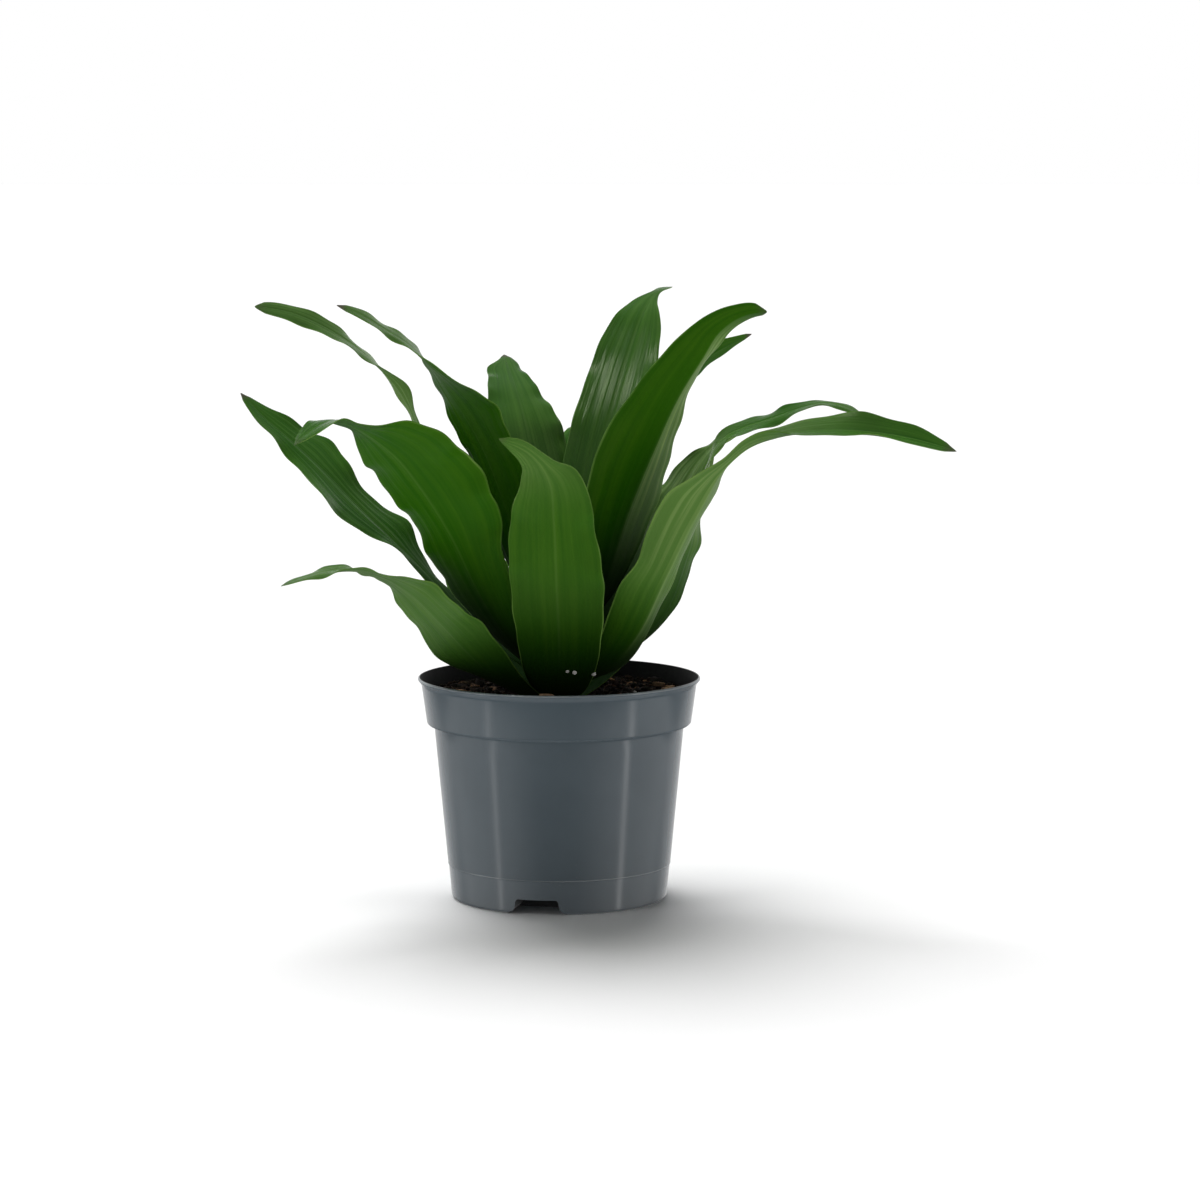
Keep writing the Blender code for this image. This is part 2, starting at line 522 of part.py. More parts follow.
def blade_points(design, along, across):
    """Places in millimetres of a blade's points, from their shares of its length and half width.

    The midrib is a smooth curve through the design's points. At each place
    along it, the blade spreads sideways as an arc: near the cane the arc wraps
    round the cane's axis, and further out it has the design's own curl. The
    fold lifts both margins in proportion to the width and the wave lifts them
    as a sine along the length.
    """
    heading = math.radians(design["azimuth"])
    root = (ROOT_RADIUS * math.cos(heading), ROOT_RADIUS * math.sin(heading), design["root_height"])
    knots = np.array((root, *design["midrib"]), dtype=float)
    chords = np.concatenate(([0.0], np.cumsum(np.linalg.norm(np.diff(knots, axis=0), axis=1))))
    fine = smooth_through(chords, knots, np.linspace(0.0, chords[-1], 400))
    travel = np.concatenate(([0.0], np.cumsum(np.linalg.norm(np.diff(fine, axis=0), axis=1))))
    length = travel[-1]

    def midrib(share):
        reach = np.clip(share, 0.0, 1.0) * length
        return np.stack([np.interp(reach, travel, fine[:, axis]) for axis in range(3)], axis=-1)

    middle = midrib(along)
    forward = midrib(along + 0.01) - midrib(along - 0.01)
    forward /= np.linalg.norm(forward, axis=1)[:, None]
    aside = np.array((-math.sin(heading), math.cos(heading), 0.0))
    side = aside - (forward @ aside)[:, None] * forward
    side /= np.linalg.norm(side, axis=1)[:, None]
    upper = np.cross(forward, side)
    turn = np.radians(station(design["roll"], along))[:, None]
    side, upper = side * np.cos(turn) + upper * np.sin(turn), upper * np.cos(turn) - side * np.sin(turn)

    opened = smooth_step(along * length, SHEATH_LENGTH, SHEATH_LENGTH + SHEATH_FADE)
    from_axis = np.maximum(np.hypot(middle[:, 0], middle[:, 1]), CANE_RADIUS)
    curl = forward[:, 2] / from_axis * (1.0 - opened) + station(design["curl"], along) * opened
    spread = width_at(design["widths"], along, across) * across
    fold = station(design["fold"], along) * opened
    sideways = np.sin(curl * spread) / curl
    rise = (1.0 - np.cos(curl * spread)) / curl + fold * np.abs(spread)

    height, count, start, lead = design["wave"]
    fade = np.clip((along * length - WAVE_START) / WAVE_START, 0.0, 1.0)
    fade = fade * np.clip(6.0 * (1.0 - along), 0.0, 1.0)
    phase = 2.0 * math.pi * count * along + start + np.where(across > 0.0, lead, 0.0)
    rise = rise + height * fade * across**2 * np.sin(phase)
    return middle + sideways[:, None] * side + rise[:, None] * upper, np.array(root)


def build_leaf(name, design, parts, material, parent):
    shape = bmesh.new()
    bmesh.ops.create_grid(shape, x_segments=LENGTH_CELLS, y_segments=WIDTH_CELLS, size=1.0)
    grid = np.array([vert.co for vert in shape.verts])
    points, root = blade_points(design, 0.5 * (grid[:, 0] + 1.0), grid[:, 1])
    for vert, point in zip(shape.verts, points):
        vert.co = (point - root) * MM
    for face in shape.faces:
        face.smooth = True
    blade = new_object(name, mesh_from(name, shape), parts, material, parent)
    blade.location = root * MM
    blade.modifiers.new("split", "TRIANGULATE")
    shell = blade.modifiers.new("thickness", "SOLIDIFY")
    shell.thickness = LEAF_THICKNESS * MM
    shell.offset = 0.0


def build_chip(name, place, size, turn, tilt, parts, material, parent):
    """A rough piece of bark: a bevelled block, narrower at one end, laid on the soil."""
    shape = bmesh.new()
    bmesh.ops.create_cube(shape, size=1.0)
    for vert in shape.verts:
        width = size[1] * (0.65 if vert.co.x > 0 else 1.0)
        height = size[2] * (0.8 if vert.co.y > 0 else 1.0)
        vert.co = (vert.co.x * size[0] * MM, vert.co.y * width * MM, vert.co.z * height * MM)
    bmesh.ops.bevel(shape, geom=shape.edges[:], offset=CHIP_BEVEL * MM, segments=1, affect="EDGES")
    turned_by = Matrix.Rotation(math.radians(turn), 3, "Z") @ Matrix.Rotation(math.radians(tilt), 3, "Y")
    bmesh.ops.rotate(shape, verts=shape.verts, cent=(0, 0, 0), matrix=turned_by)
    lowest = min(vert.co.z for vert in shape.verts)
    below = max(soil_height(place[0] + vert.co.x / MM, place[1] + vert.co.y / MM) for vert in shape.verts)
    chip = new_object(name, mesh_from(name, shape), parts, material, parent)
    chip.location = (place[0] * MM, place[1] * MM, (below + CHIP_CLEARANCE) * MM - lowest)


def main():
    clear_scene()
    parts = new_collection("potted_dracaena")
    cutters = new_collection("cutters")
    finish = {name: new_material(name) for name in FINISHES}
    frame = new_object("potted_dracaena", None, parts)

    build_pot(parts, cutters, finish["pot"], frame)
    build_soil(parts, cutters, finish["soil"], frame)
    build_cane(parts, finish["cane"], frame)
    build_spear(parts, finish["leaf"], frame)
    for name, design in LEAVES.items():
        build_leaf(name, design, parts, finish["leaf"], frame)
    for name, (place, size, turn, tilt) in CHIPS.items():
        build_chip(name, place, size, turn, tilt, parts, finish["bark"], frame)


main()
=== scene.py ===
import math
from dataclasses import dataclass

import bmesh
import bpy
import numpy as np
from mathutils import Matrix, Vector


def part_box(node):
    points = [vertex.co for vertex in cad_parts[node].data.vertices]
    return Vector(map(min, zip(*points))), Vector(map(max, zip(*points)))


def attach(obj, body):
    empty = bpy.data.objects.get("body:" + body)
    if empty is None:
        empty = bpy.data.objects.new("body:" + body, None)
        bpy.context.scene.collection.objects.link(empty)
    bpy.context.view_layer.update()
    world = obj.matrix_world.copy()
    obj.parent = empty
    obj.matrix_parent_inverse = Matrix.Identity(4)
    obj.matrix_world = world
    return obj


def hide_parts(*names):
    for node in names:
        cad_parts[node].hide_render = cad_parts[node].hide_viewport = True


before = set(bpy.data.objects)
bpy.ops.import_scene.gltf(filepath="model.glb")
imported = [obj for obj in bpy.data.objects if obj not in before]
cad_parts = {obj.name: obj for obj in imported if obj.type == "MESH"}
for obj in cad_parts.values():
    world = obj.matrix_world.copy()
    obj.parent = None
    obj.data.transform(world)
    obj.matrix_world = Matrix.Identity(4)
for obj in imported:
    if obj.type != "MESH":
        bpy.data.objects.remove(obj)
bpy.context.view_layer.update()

# Looks of the potted dracaena. Lengths are in millimetres and become metres
# through MM. The origin is the middle of the pot's underside, +Z is up, +X is
# to the right of the front view and -Y faces the viewer.
MM = 0.001
FULL_TURN = 2.0 * math.pi

# Camera, as the photograph was taken
PHOTO_PIXELS = 1200.0
FOCAL_PIXELS = 3796.5
CAMERA_DISTANCE = 1600.0
CAMERA_HEIGHT = 313.9
CAMERA_TILT = 6.666
CAMERA_TURN = 0.623
SENSOR = 36.0

# Light. The soft box and the strips have their azimuth from the viewer's side
# to the right, in degrees. SKY_EDGE and FLOOR_EDGE are the heights of a
# direction, from -1 to 1, between which one part of the studio goes over into
# the next. Four numbers are two azimuths in radians, counted to both sides,
# and what a value goes from and to between them
STRIPS = ((-66.0, 1.5), (67.5, 2.3))
STRIP_EDGE = (0.030, 0.055)
SOFT_BOX_AZIMUTH = -52.0
SOFT_BOX_HEIGHT = 57.0
SOFT_BOX_LIGHT = 9.0
SOFT_BOX_EDGE = (0.990, 0.997)
SKY_GLOW = 0.25
SKY_EDGE = (0.30, 0.60)
FLOOR_GLOW = 0.70
FLOOR_EDGE = (-0.78, -0.66)
GAP_GLOW = (1.1, 1.7, 0.20, 0.30)
PANEL_GLOW = (0.15, 1.15, 0.45, 1.25)
PANEL_LOSS = (1.3, 2.6, 0.0, 0.45)
PANEL_FOOT = (1.6, 2.2, -0.52, -0.32)
PANEL_FOOT_HEIGHT = 0.10
MATT_SHARE = 0.30
SUN_DIRECTION = (0.17, -0.47, -0.87)
SUN_LIGHT = 3.75
SUN_ANGLE = 46.0

# Pot
RIM_RADIUS = 60.0
POT_HEIGHT = 94.3
LIP_ROUNDING = 0.7
FLARE_DEPTH = 3.4
COLLAR_TOP_RADIUS = 58.4
COLLAR_FOOT_RADIUS = 56.3
COLLAR_FOOT = 74.6
COLLAR_ROUNDING = 1.0
SHOULDER_RADIUS = 53.1
BODY_FOOT_RADIUS = 47.5
PARTING_HEIGHT = 14.8
PARTING_STEP = 0.3
FOOT_RADIUS = 46.0
FOOT_ROUNDING = 1.4
WALL = 1.2
MOUTH_RADIUS = 58.7
MOUTH_BEVEL = 0.3
POT_STEPS = 288
DRAIN_AZIMUTHS = (-102.0, 18.0, 138.0)
DRAIN_HEIGHT = 6.4
DRAIN_HALF_WIDTH = 9.1
DRAIN_LEAN = 0.1
DRAIN_FLARE = 4.6
DRAIN_FLARE_HEIGHT = 0.8
DRAIN_START = 27.0
DRAIN_END = 62.0
DRAIN_ROUNDING = 1.2
DRAIN_HOLE_RADIUS = 4.0
DRAIN_HOLE_AT = 35.0
INNER_FLOOR = DRAIN_HEIGHT + WALL

# Soil. CRUMBS are its random lumps, each size with its height
SOIL_LEVEL = 86.9
SOIL_STEPS = 360
SOIL_HOLLOW = 4.3
HOLLOW_INNER = 17.0
HOLLOW_OUTER = 30.0
HOLE_EDGE = (9.2, 10.2)
RIPPLE_HEIGHT = 0.5
CRUMBS = ((3.4, 0.45), (1.7, 0.40), (0.8, 0.22))
NOISE_CELLS = 128
BIT_SINK = 0.2
GAP = 0.3

# Cane and the rolled youngest leaf
CANE_RADIUS = 8.0
CANE_FOOT = 60.0
CANE_SHOULDER = 110.0
CANE_TOP = 127.0
CANE_DOME = 7.0
SCAR_SPACING = 3.1
SPEAR_RADIUS = 4.6
SPEAR_LENGTH = 40.0
SPEAR_LEAN = 3.0
SPEAR_LAP = 0.14
SPEAR_TWIST = 0.9
SPEAR_SHADE = 17.2

# Leaf blades. RIBS are the waves from the midrib to a margin, each with its height
ROOT_RADIUS = 8.75
SHEATH_LENGTH = 12.0
SHEATH_FADE = 45.0
WAVE_START = 40.0
SMALL_WAVE = 0.42
TIP_TAPER = 0.02
LEAST_WIDTH = 0.8
TIP_WIDTH = 0.12
NIBBLE = 0.012
MIDDLE_THICKNESS = 0.85
MARGIN_THICKNESS = 0.34
RIBS = ((3.5, 0.05), (6.0, 0.04))
GROOVE_DEPTH = 0.28
GROOVE_WIDTH = 1.1
FOLD_ROUNDING = 1.6
BLADE_ROWS = 150
BLADE_COLUMNS = 48
# Painted shade on each blade's foot: how dark it gets, and the distance from the cane where it starts to
# fade
PAINTED_FOOT_SHADE = 0.90
FOOT_FADE = 24.0
CURL = ((0, 0.012), (1, 0.012))
NONE = ((0, 0), (1, 0))
BACK_WIDTHS = ((0, 7), (0.12, 13), (0.3, 16.5), (0.5, 17.5), (0.65, 15.5), (0.8, 10.5), (0.92, 5), (1, 0.8))

# Colours: a dark and a light tone each, or one
UPPER_TONES = ((0.014, 0.086, 0.003), (0.045, 0.142, 0.012))
UNDER_TONES = ((0.014, 0.089, 0.001), (0.036, 0.127, 0.003))
UPPER_SHEEN = (0.9, 1.0, 0.7, 1.0)
UNDER_SHEEN = (0.9, 1.0, 0.35, 1.0)
# Pale halves of blades: partly their own paler bloom and stripes, partly painted light and painted
# reflection. The stripe colour also draws the paler midrib line
PALE_GREEN_AND_PAINTED_LIGHT = (0.125, 0.235, 0.058)
PALE_STRIPE_AND_PAINTED_SHEEN = (0.280, 0.410, 0.140)
# Painted shade: the near-black green that darkens each blade's foot
PAINTED_SHADE_GREEN = (0.0, 0.008, 0.0)
# A fine margin: partly its own paler green, partly painted edge light
PALE_MARGIN_AND_PAINTED_EDGE_LIGHT = (0.18, 0.32, 0.07)
WITHERED = (0.085, 0.062, 0.052)
PLASTIC_TONES = ((0.060, 0.083, 0.100), (0.070, 0.095, 0.113))
# Painted light: the paler plastic below the parting line
PAINTED_LIGHT_FOOT = (0.25, 0.28, 0.30)
# Painted highlight: the pale colour along the lip and the parting line
PAINTED_EDGE_HIGHLIGHT = (0.38, 0.41, 0.42)
DUST = (0.25, 0.24, 0.22)
# Painted shade: the near-black inside wall of the pot
PAINTED_SHADE_TONES = ((0.004, 0.004, 0.004), (0.009, 0.010, 0.010))
# Painted light: the paler grey of the recesses under the pot's floor
PAINTED_LIGHT_GREY = (0.075, 0.078, 0.080)
PEAT_TONES = ((0.003, 0.002, 0.001), (0.012, 0.006, 0.003))
RUSTY_PEAT = (0.050, 0.022, 0.010)
CRUMB_TONES = ((0.003, 0.002, 0.001), (0.018, 0.009, 0.005))
FLAKE_TONES = ((0.006, 0.003, 0.002), (0.300, 0.170, 0.090))
FIBRE_TONES = ((0.008, 0.004, 0.002), (0.070, 0.034, 0.018))
PERLITE_TONES = ((0.45, 0.44, 0.41), (0.80, 0.79, 0.75))
BARK_TONES = ((0.20, 0.105, 0.055), (0.46, 0.31, 0.19))
BARK_CRACK = (0.075, 0.036, 0.02)
CANE_TONES = ((0.10, 0.13, 0.04), (0.24, 0.21, 0.10))
CANE_SCAR = (0.11, 0.060, 0.030)
FLOOR_TONES = ((0.90, 0.90, 0.90), (0.92, 0.92, 0.92))


@dataclass
class Leaf:
    """Design of one blade.

    azimuth is the way it faces, root_height is where it leaves the cane, and
    midrib is the points it passes through. widths, roll, curl and fold are
    stations along the blade, from 0 at the cane to 1 at the tip: the width
    from the midrib to a margin, once for both margins or for each in turn,
    the turn about the midrib, one over the radius of the cross-section, and
    the slope of a V-shaped section. wave is the rise of the wavy margins, the
    waves along a blade, their start angle in radians, and the angle by which
    one margin leads the other. pale is stations of how pale and striped each
    half is, partly from the blade's own bloom and stripes and partly painted
    light and painted reflection. dry is how withered the tip is, and foot is
    how far from the cane the painted shade on the blade's foot reaches.
    """

    azimuth: float
    root_height: float
    midrib: tuple
    widths: tuple
    roll: tuple = NONE
    curl: tuple = CURL
    fold: tuple = NONE
    wave: tuple = (0.0, 4.0, 0.0, 0.0)
    pale: tuple = NONE
    dry: float = 0.3
    # foot: how far from the cane the painted shade on the blade's foot reaches
    foot: float = 64


# The rosette from its oldest, lowest leaf up
LEAVES = {
    # low, to the left, and turning level at its tip
    "leaf_01": Leaf(
        212, 83.5,
        ((-15, -10, 88), (-26, -18, 96), (-37, -26, 107), (-49, -33, 121), (-61, -39, 134), (-73, -44, 142),
         (-86, -48, 145), (-98, -51, 144), (-114, -54, 139)),
        ((0, 7, 7), (0.12, 15, 12), (0.3, 20, 16), (0.48, 19, 18), (0.62, 16, 15), (0.75, 9, 9),
         (0.88, 6, 6), (0.95, 3.5, 3.5), (1, 1, 1)),
        roll=((0, 0), (0.15, 8), (0.3, 22), (0.48, 14), (0.62, 8), (0.8, 0), (1, 0)),
        wave=(1.4, 5, 0.9, 1.0),
        pale=((0, 0), (0.28, 0.08), (0.42, 0.28), (0.6, 0.33), (0.8, 0.33), (1, 0.2)), foot=72),
    # low, at the back right
    "leaf_02": Leaf(
        45, 84.5,
        ((13, 13, 90), (20, 20, 98), (27, 28, 111), (34, 38, 128), (40, 50, 142), (45, 64, 150),
         (49, 80, 153), (52, 96, 149), (53, 107, 142)),
        BACK_WIDTHS, wave=(1.8, 5, 0.5, 1.5)),
    # broad, in the middle of the front, with a curled tip
    "leaf_03": Leaf(
        268, 86.2,
        ((0, -17, 89), (0, -28, 98), (0, -38, 114), (-1, -50, 141), (-2, -60, 166), (-4, -70, 184),
         (-12, -80, 196), (-24, -87, 202)),
        ((0, 7, 7), (0.12, 14, 14), (0.3, 18, 18), (0.5, 19.5, 19), (0.6, 19, 16.5), (0.72, 15.5, 15),
         (0.78, 12.5, 11.5), (0.83, 9, 7), (0.88, 7, 4.5), (0.94, 4.5, 4), (1, 1, 1)),
        wave=(1.5, 5, 0.5, 1.5),
        pale=((0, 0), (0.26, 0), (0.38, 0.10), (0.7, 0.15), (0.84, 0.40), (1, 0.30)), foot=86),
    # low, at the back left
    "leaf_04": Leaf(
        132, 86.4,
        ((-13, 14, 92), (-21, 25, 100), (-29, 37, 112), (-35, 49, 126), (-40, 62, 138), (-44, 76, 146),
         (-48, 90, 149), (-51, 104, 145), (-53, 115, 137)),
        BACK_WIDTHS, wave=(1.8, 5, 2.5, 1.5)),
    # to the front right, folded, with a narrow waist and a long level tip
    "leaf_05": Leaf(
        316, 90.6,
        ((11, -10, 94), (19, -17, 99), (31, -29, 114), (44, -43, 142), (56, -54, 168), (69, -62, 190),
         (78, -66, 197.5), (89, -68, 201.5), (109, -71, 204), (125, -73, 203.5), (142, -76, 201),
         (160, -78, 196)),
        ((0, 7, 7), (0.1, 12, 12), (0.2, 13.5, 10), (0.28, 14.5, 8), (0.35, 13, 8.5), (0.4, 13, 12),
         (0.45, 13.8, 14), (0.5, 13.8, 13.5), (0.54, 10, 10), (0.58, 5, 6), (0.63, 6, 5), (0.7, 9, 7),
         (0.78, 7.5, 8.5), (0.87, 7, 6.8), (0.93, 5.5, 6), (0.97, 3.5, 3.5), (1, 1, 1)),
        roll=((0, 0), (0.5, 0), (0.62, 15), (0.75, 24), (1, 20)),
        curl=((0, 0.03), (1, 0.03)), fold=((0, 0.35), (0.6, 0.35), (0.8, 0.3), (1, 0.3)),
        wave=(1.4, 4.5, 2.2, 0.5),
        pale=((0, 0, 0), (0.11, 0, 0.1), (0.18, 0, 0.5), (0.28, 0.2, 0.7), (0.36, 0.5, 0.8),
              (0.5, 0.65, 0.9), (0.62, 0.5, 0.7), (0.74, 0.15, 0.35), (0.86, 0.1, 0.1), (0.93, 0, 0),
              (1, 0, 0)),
        dry=0.6, foot=78),
    # low, straight to the back
    "leaf_06": Leaf(
        92, 90.4,
        ((-1, 17, 94), (-1, 25, 104), (-2, 35, 122), (-3, 47, 144), (-5, 61, 160), (-7, 78, 170),
         (-9, 97, 173), (-10, 113, 168)),
        BACK_WIDTHS, wave=(1.8, 5, 1.5, 1.5)),
    # to the right, behind leaf_05, arching over it
    "leaf_07": Leaf(
        338, 92.5,
        ((13, -5, 97), (22, -8, 102), (32, -12, 111), (43, -18, 128), (50, -22, 148), (56, -25, 168),
         (61, -27, 184), (65, -29, 194), (70, -30, 199), (76, -32, 202), (84, -35, 205), (92, -38, 208),
         (100, -40, 211), (109, -42, 213), (119, -45, 211), (127, -48, 205)),
        ((0, 7, 7), (0.12, 13, 13), (0.3, 17, 17), (0.45, 14, 15), (0.57, 8, 7), (0.63, 5, 4),
         (0.7, 8, 7.5), (0.78, 5.5, 6), (0.86, 4.5, 5), (0.94, 3.5, 3.5), (1, 1, 1)),
        roll=((0, 0), (0.5, 0), (0.64, 24), (0.75, 28), (0.86, 18), (1, 5)), wave=(1.2, 6, 0.0, 2.0),
        pale=((0, 0), (0.3, 0), (0.38, 0.25), (0.48, 0.75), (0.6, 0.55), (0.7, 0.15), (1, 0.3)), dry=0.8,
        foot=88),
    # far to the left, showing its upper face
    "leaf_08": Leaf(
        160, 92.8,
        ((-15, 5, 99), (-28, 9, 108), (-42, 14, 120), (-55, 18, 134), (-69, 22, 148), (-86, 27, 164),
         (-103, 32, 181), (-118, 38, 194), (-129, 43, 203), (-138, 48, 212)),
        ((0, 7, 7), (0.12, 9, 9), (0.25, 7, 7), (0.36, 7, 4), (0.43, 9.5, 4.5), (0.5, 16, 8.5),
         (0.58, 13, 15), (0.65, 11, 18), (0.71, 14, 14), (0.78, 17.5, 10), (0.84, 12, 8), (0.9, 8.5, 6.5),
         (0.96, 4, 3), (1, 0.8, 0.8)),
        roll=((0, 0), (0.25, 0), (0.4, -8), (0.6, -15), (1, -20)), wave=(1.4, 4.5, 1.0, 0.5), dry=0.9,
        foot=120),
    # broad, to the front left, with a tip that droops
    "leaf_09": Leaf(
        226, 95.8,
        ((-13, -13, 103), (-23, -24, 116), (-33, -33, 134), (-45, -44, 160), (-56, -55, 179),
         (-66, -64, 193), (-76, -71, 202), (-84, -77, 207), (-90, -83, 209), (-95, -88, 207.5),
         (-101, -92, 203.5), (-105, -95, 200)),
        ((0, 7, 7), (0.12, 13, 13), (0.3, 17, 17), (0.42, 16, 21), (0.5, 15, 26), (0.58, 15.5, 27),
         (0.64, 18, 26), (0.7, 17, 26), (0.75, 13.5, 21), (0.8, 10, 14.5), (0.86, 8.5, 9), (0.91, 8, 8),
         (0.95, 5.5, 5.5), (1, 1, 1)),
        roll=((0, 0), (0.2, 0), (0.4, 15), (0.72, 15), (0.83, 3), (1, 0)), wave=(1.6, 6.5, 0.5, 1.5),
        foot=100),
    # to the right, half hidden
    "leaf_10": Leaf(
        22, 99.2,
        ((12, 5, 109), (21, 8, 119), (33, 13, 136), (44, 19, 156), (53, 26, 172), (61, 31, 184),
         (68, 35, 191), (75, 39, 195), (83, 43, 199)),
        ((0, 6.5, 6.5), (0.12, 11, 11), (0.4, 17, 17), (0.62, 16, 15), (0.74, 11, 10), (0.82, 6, 4),
         (0.92, 4, 4), (1, 1, 1)),
        roll=((0, 0), (0.4, 0), (0.7, 15), (1, 10)), wave=(1.2, 5, 0.5, 1.5),
        pale=((0, 0), (0.4, 0.1), (0.65, 0.7), (0.85, 0.6), (1, 0.4)), foot=105),
    # narrow, arching far to the upper left
    "leaf_11": Leaf(
        188, 99.5,
        ((-13, -2, 109), (-27, -4, 121), (-41, -7, 138), (-51, -11, 158), (-57, -14, 180),
         (-58.5, -16, 200), (-66, -19, 217), (-79, -22, 231), (-95, -26, 242.5), (-110, -30, 249.5),
         (-125, -34, 252.5)),
        ((0, 6.5), (0.12, 11), (0.3, 13), (0.5, 10), (0.6, 6), (0.66, 7), (0.72, 6.5), (0.85, 5.6),
         (0.94, 4.4), (0.98, 3), (1, 1.8)),
        roll=((0, 0), (0.3, 6), (0.56, 6), (0.62, 10), (0.67, 18), (0.73, -4), (0.8, -22), (0.9, -38),
              (1, -45)),
        wave=(0.8, 6, 0.5, 1.5),
        pale=((0, 0), (0.4, 0.25), (0.5, 0.65), (0.7, 0.6), (0.82, 0.4), (1, 0.3))),
    # to the back, above leaf_06
    "leaf_12": Leaf(
        75, 103.2,
        ((3, 12, 111), (5, 18, 124), (8, 27, 145), (11, 39, 167), (14, 53, 184), (17, 69, 195),
         (20, 87, 199), (22, 103, 194)),
        ((0, 6.5), (0.12, 11), (0.3, 15), (0.5, 17), (0.65, 16), (0.8, 11), (0.92, 5), (1, 0.8)),
        wave=(1.5, 5, 3.5, 1.5)),
    # upright to the left, turning over at two thirds of its length
    "leaf_13": Leaf(
        210, 104,
        ((-10, -6, 116), (-14, -11, 140), (-22, -19, 168), (-33, -28, 197), (-44, -36, 216),
         (-54, -43, 230), (-61, -47, 237), (-70, -51, 243), (-81, -55, 250), (-90, -57, 254)),
        ((0, 6, 6), (0.12, 10, 10), (0.35, 13, 16), (0.46, 12, 17), (0.55, 12, 18), (0.61, 13, 21),
         (0.67, 13, 22), (0.72, 10, 19), (0.76, 8, 8), (0.8, 6.5, 5), (0.85, 6.5, 4), (0.93, 5.5, 3.5),
         (0.98, 2.5, 2), (1, 1, 1)),
        roll=((0, 0), (0.66, 0), (0.77, -20), (0.85, -30), (1, -35)), wave=(0.8, 6, 2.5, 1.5),
        pale=((0, 0), (0.7, 0), (0.8, 0.3), (1, 0.25)), dry=1.0, foot=50),
    # upright to the right, folded along its midrib
    "leaf_14": Leaf(
        318, 106.5,
        ((9, -9, 114), (18, -15, 133), (28, -22, 165), (40, -29, 195), (50, -35, 217), (59, -40, 232),
         (65.5, -45, 242.5), (75, -51, 249.5), (84.5, -57, 251.5)),
        ((0, 6, 6), (0.12, 12, 12), (0.3, 20, 19), (0.45, 23.5, 20), (0.6, 19.5, 11), (0.75, 13.5, 6.5),
         (0.86, 8.5, 5), (0.93, 5.5, 4), (0.98, 3.8, 3), (1, 2, 2)),
        roll=((0, 0), (0.3, -4), (0.6, -10), (0.78, -14), (0.9, -34), (1, -42)),
        curl=((0, 0.02), (0.5, 0.014), (1, 0.014)),
        fold=((0, 0.1), (0.45, 0.12), (0.6, 0.3), (0.75, 0.45), (1, 0.35)), wave=(0.8, 4, 0.5, 1.5),
        pale=((0, 0, 0), (0.2, 0, 0.1), (0.3, 0, 0.35), (0.45, 0, 0.8), (0.55, 0, 1), (0.8, 0, 1),
              (0.92, 0, 0.3), (1, 0, 0)),
        foot=75),
    # upright to the right, behind leaf_14
    "leaf_15": Leaf(
        25, 109.5,
        ((12, 5, 121), (22, 9, 145), (34, 14, 175), (48, 19, 207), (61, 23, 227), (73, 28, 234),
         (83, 33, 238)),
        ((0, 6, 6), (0.12, 10, 10), (0.4, 14, 14), (0.65, 12, 12), (0.8, 8.5, 9), (0.9, 5, 5),
         (0.96, 2.5, 3), (1, 1, 1)),
        roll=((0, 0), (0.5, 0), (0.7, -20), (0.85, -50), (1, -40)), dry=1.0),
    # upright to the back, left of the middle, with a torn tip
    "leaf_16": Leaf(
        108, 114,
        ((-4, 11, 124), (-6, 15, 150), (-10, 21, 180), (-14, 30, 199), (-18, 45, 212), (-21, 61, 220),
         (-24, 77, 227)),
        ((0, 6, 6), (0.12, 11, 11), (0.4, 17, 18), (0.6, 15, 17), (0.78, 9.5, 12.5), (0.86, 6.5, 10.5),
         (0.905, 5, 9.5), (0.94, 4.5, 5.5), (0.97, 3, 2.5), (1, 1, 1)),
        wave=(0.8, 5, 0.5, 1.5), pale=((0, 0), (0.3, 0.4), (0.5, 0.35), (0.7, 0.15), (1, 0.1)), dry=0.9,
        foot=50),
    # the tallest, upright to the back, right of the middle
    "leaf_17": Leaf(
        72, 119,
        ((5, 9, 128), (10, 10, 155), (16, 14, 182), (23, 23, 207), (31, 38, 232), (38, 52, 249),
         (43, 62, 255), (50, 74, 257)),
        ((0, 6, 6), (0.12, 11, 11), (0.4, 15, 15), (0.6, 15, 15), (0.75, 12, 13), (0.82, 8, 10.5),
         (0.87, 3.5, 7.5), (0.915, 1.5, 2.5), (0.96, 2.2, 2.5), (1, 0.8, 0.8)),
        wave=(0.6, 4, 0.5, 1.5), pale=((0, 0), (0.3, 0.2), (0.55, 0.15), (1, 0.1)), dry=1.0, foot=50),
}

# Bark chips on the soil: length, width and height, turn, tilt, and how far they curl
CHIPS = {
    "bark_chip_1": ((7.0, 4.0, 5.5), 20, 8, 0.0),
    "bark_chip_2": ((3.6, 3.0, 4.8), 60, 5, 0.0),
    "bark_chip_3": ((5.5, 3.2, 2.2), -15, 4, 0.0),
    "bark_chip_4": ((5.0, 3.4, 2.4), 70, 6, 0.0),
    "bark_chip_5": ((10.0, 5.0, 3.2), 105, 10, 0.12),
    "bark_chip_6": ((8.0, 3.6, 2.0), 35, 3, 0.05),
    "bark_chip_7": ((7.0, 4.4, 2.6), -30, 5, 0.05),
    "bark_chip_8": ((6.0, 3.6, 2.2), 10, 4, 0.0),
}


# Curves and noise

def smooth_step(value, start, end):
    share = np.clip((value - start) / (end - start), 0.0, 1.0)
    return share * share * (3.0 - 2.0 * share)


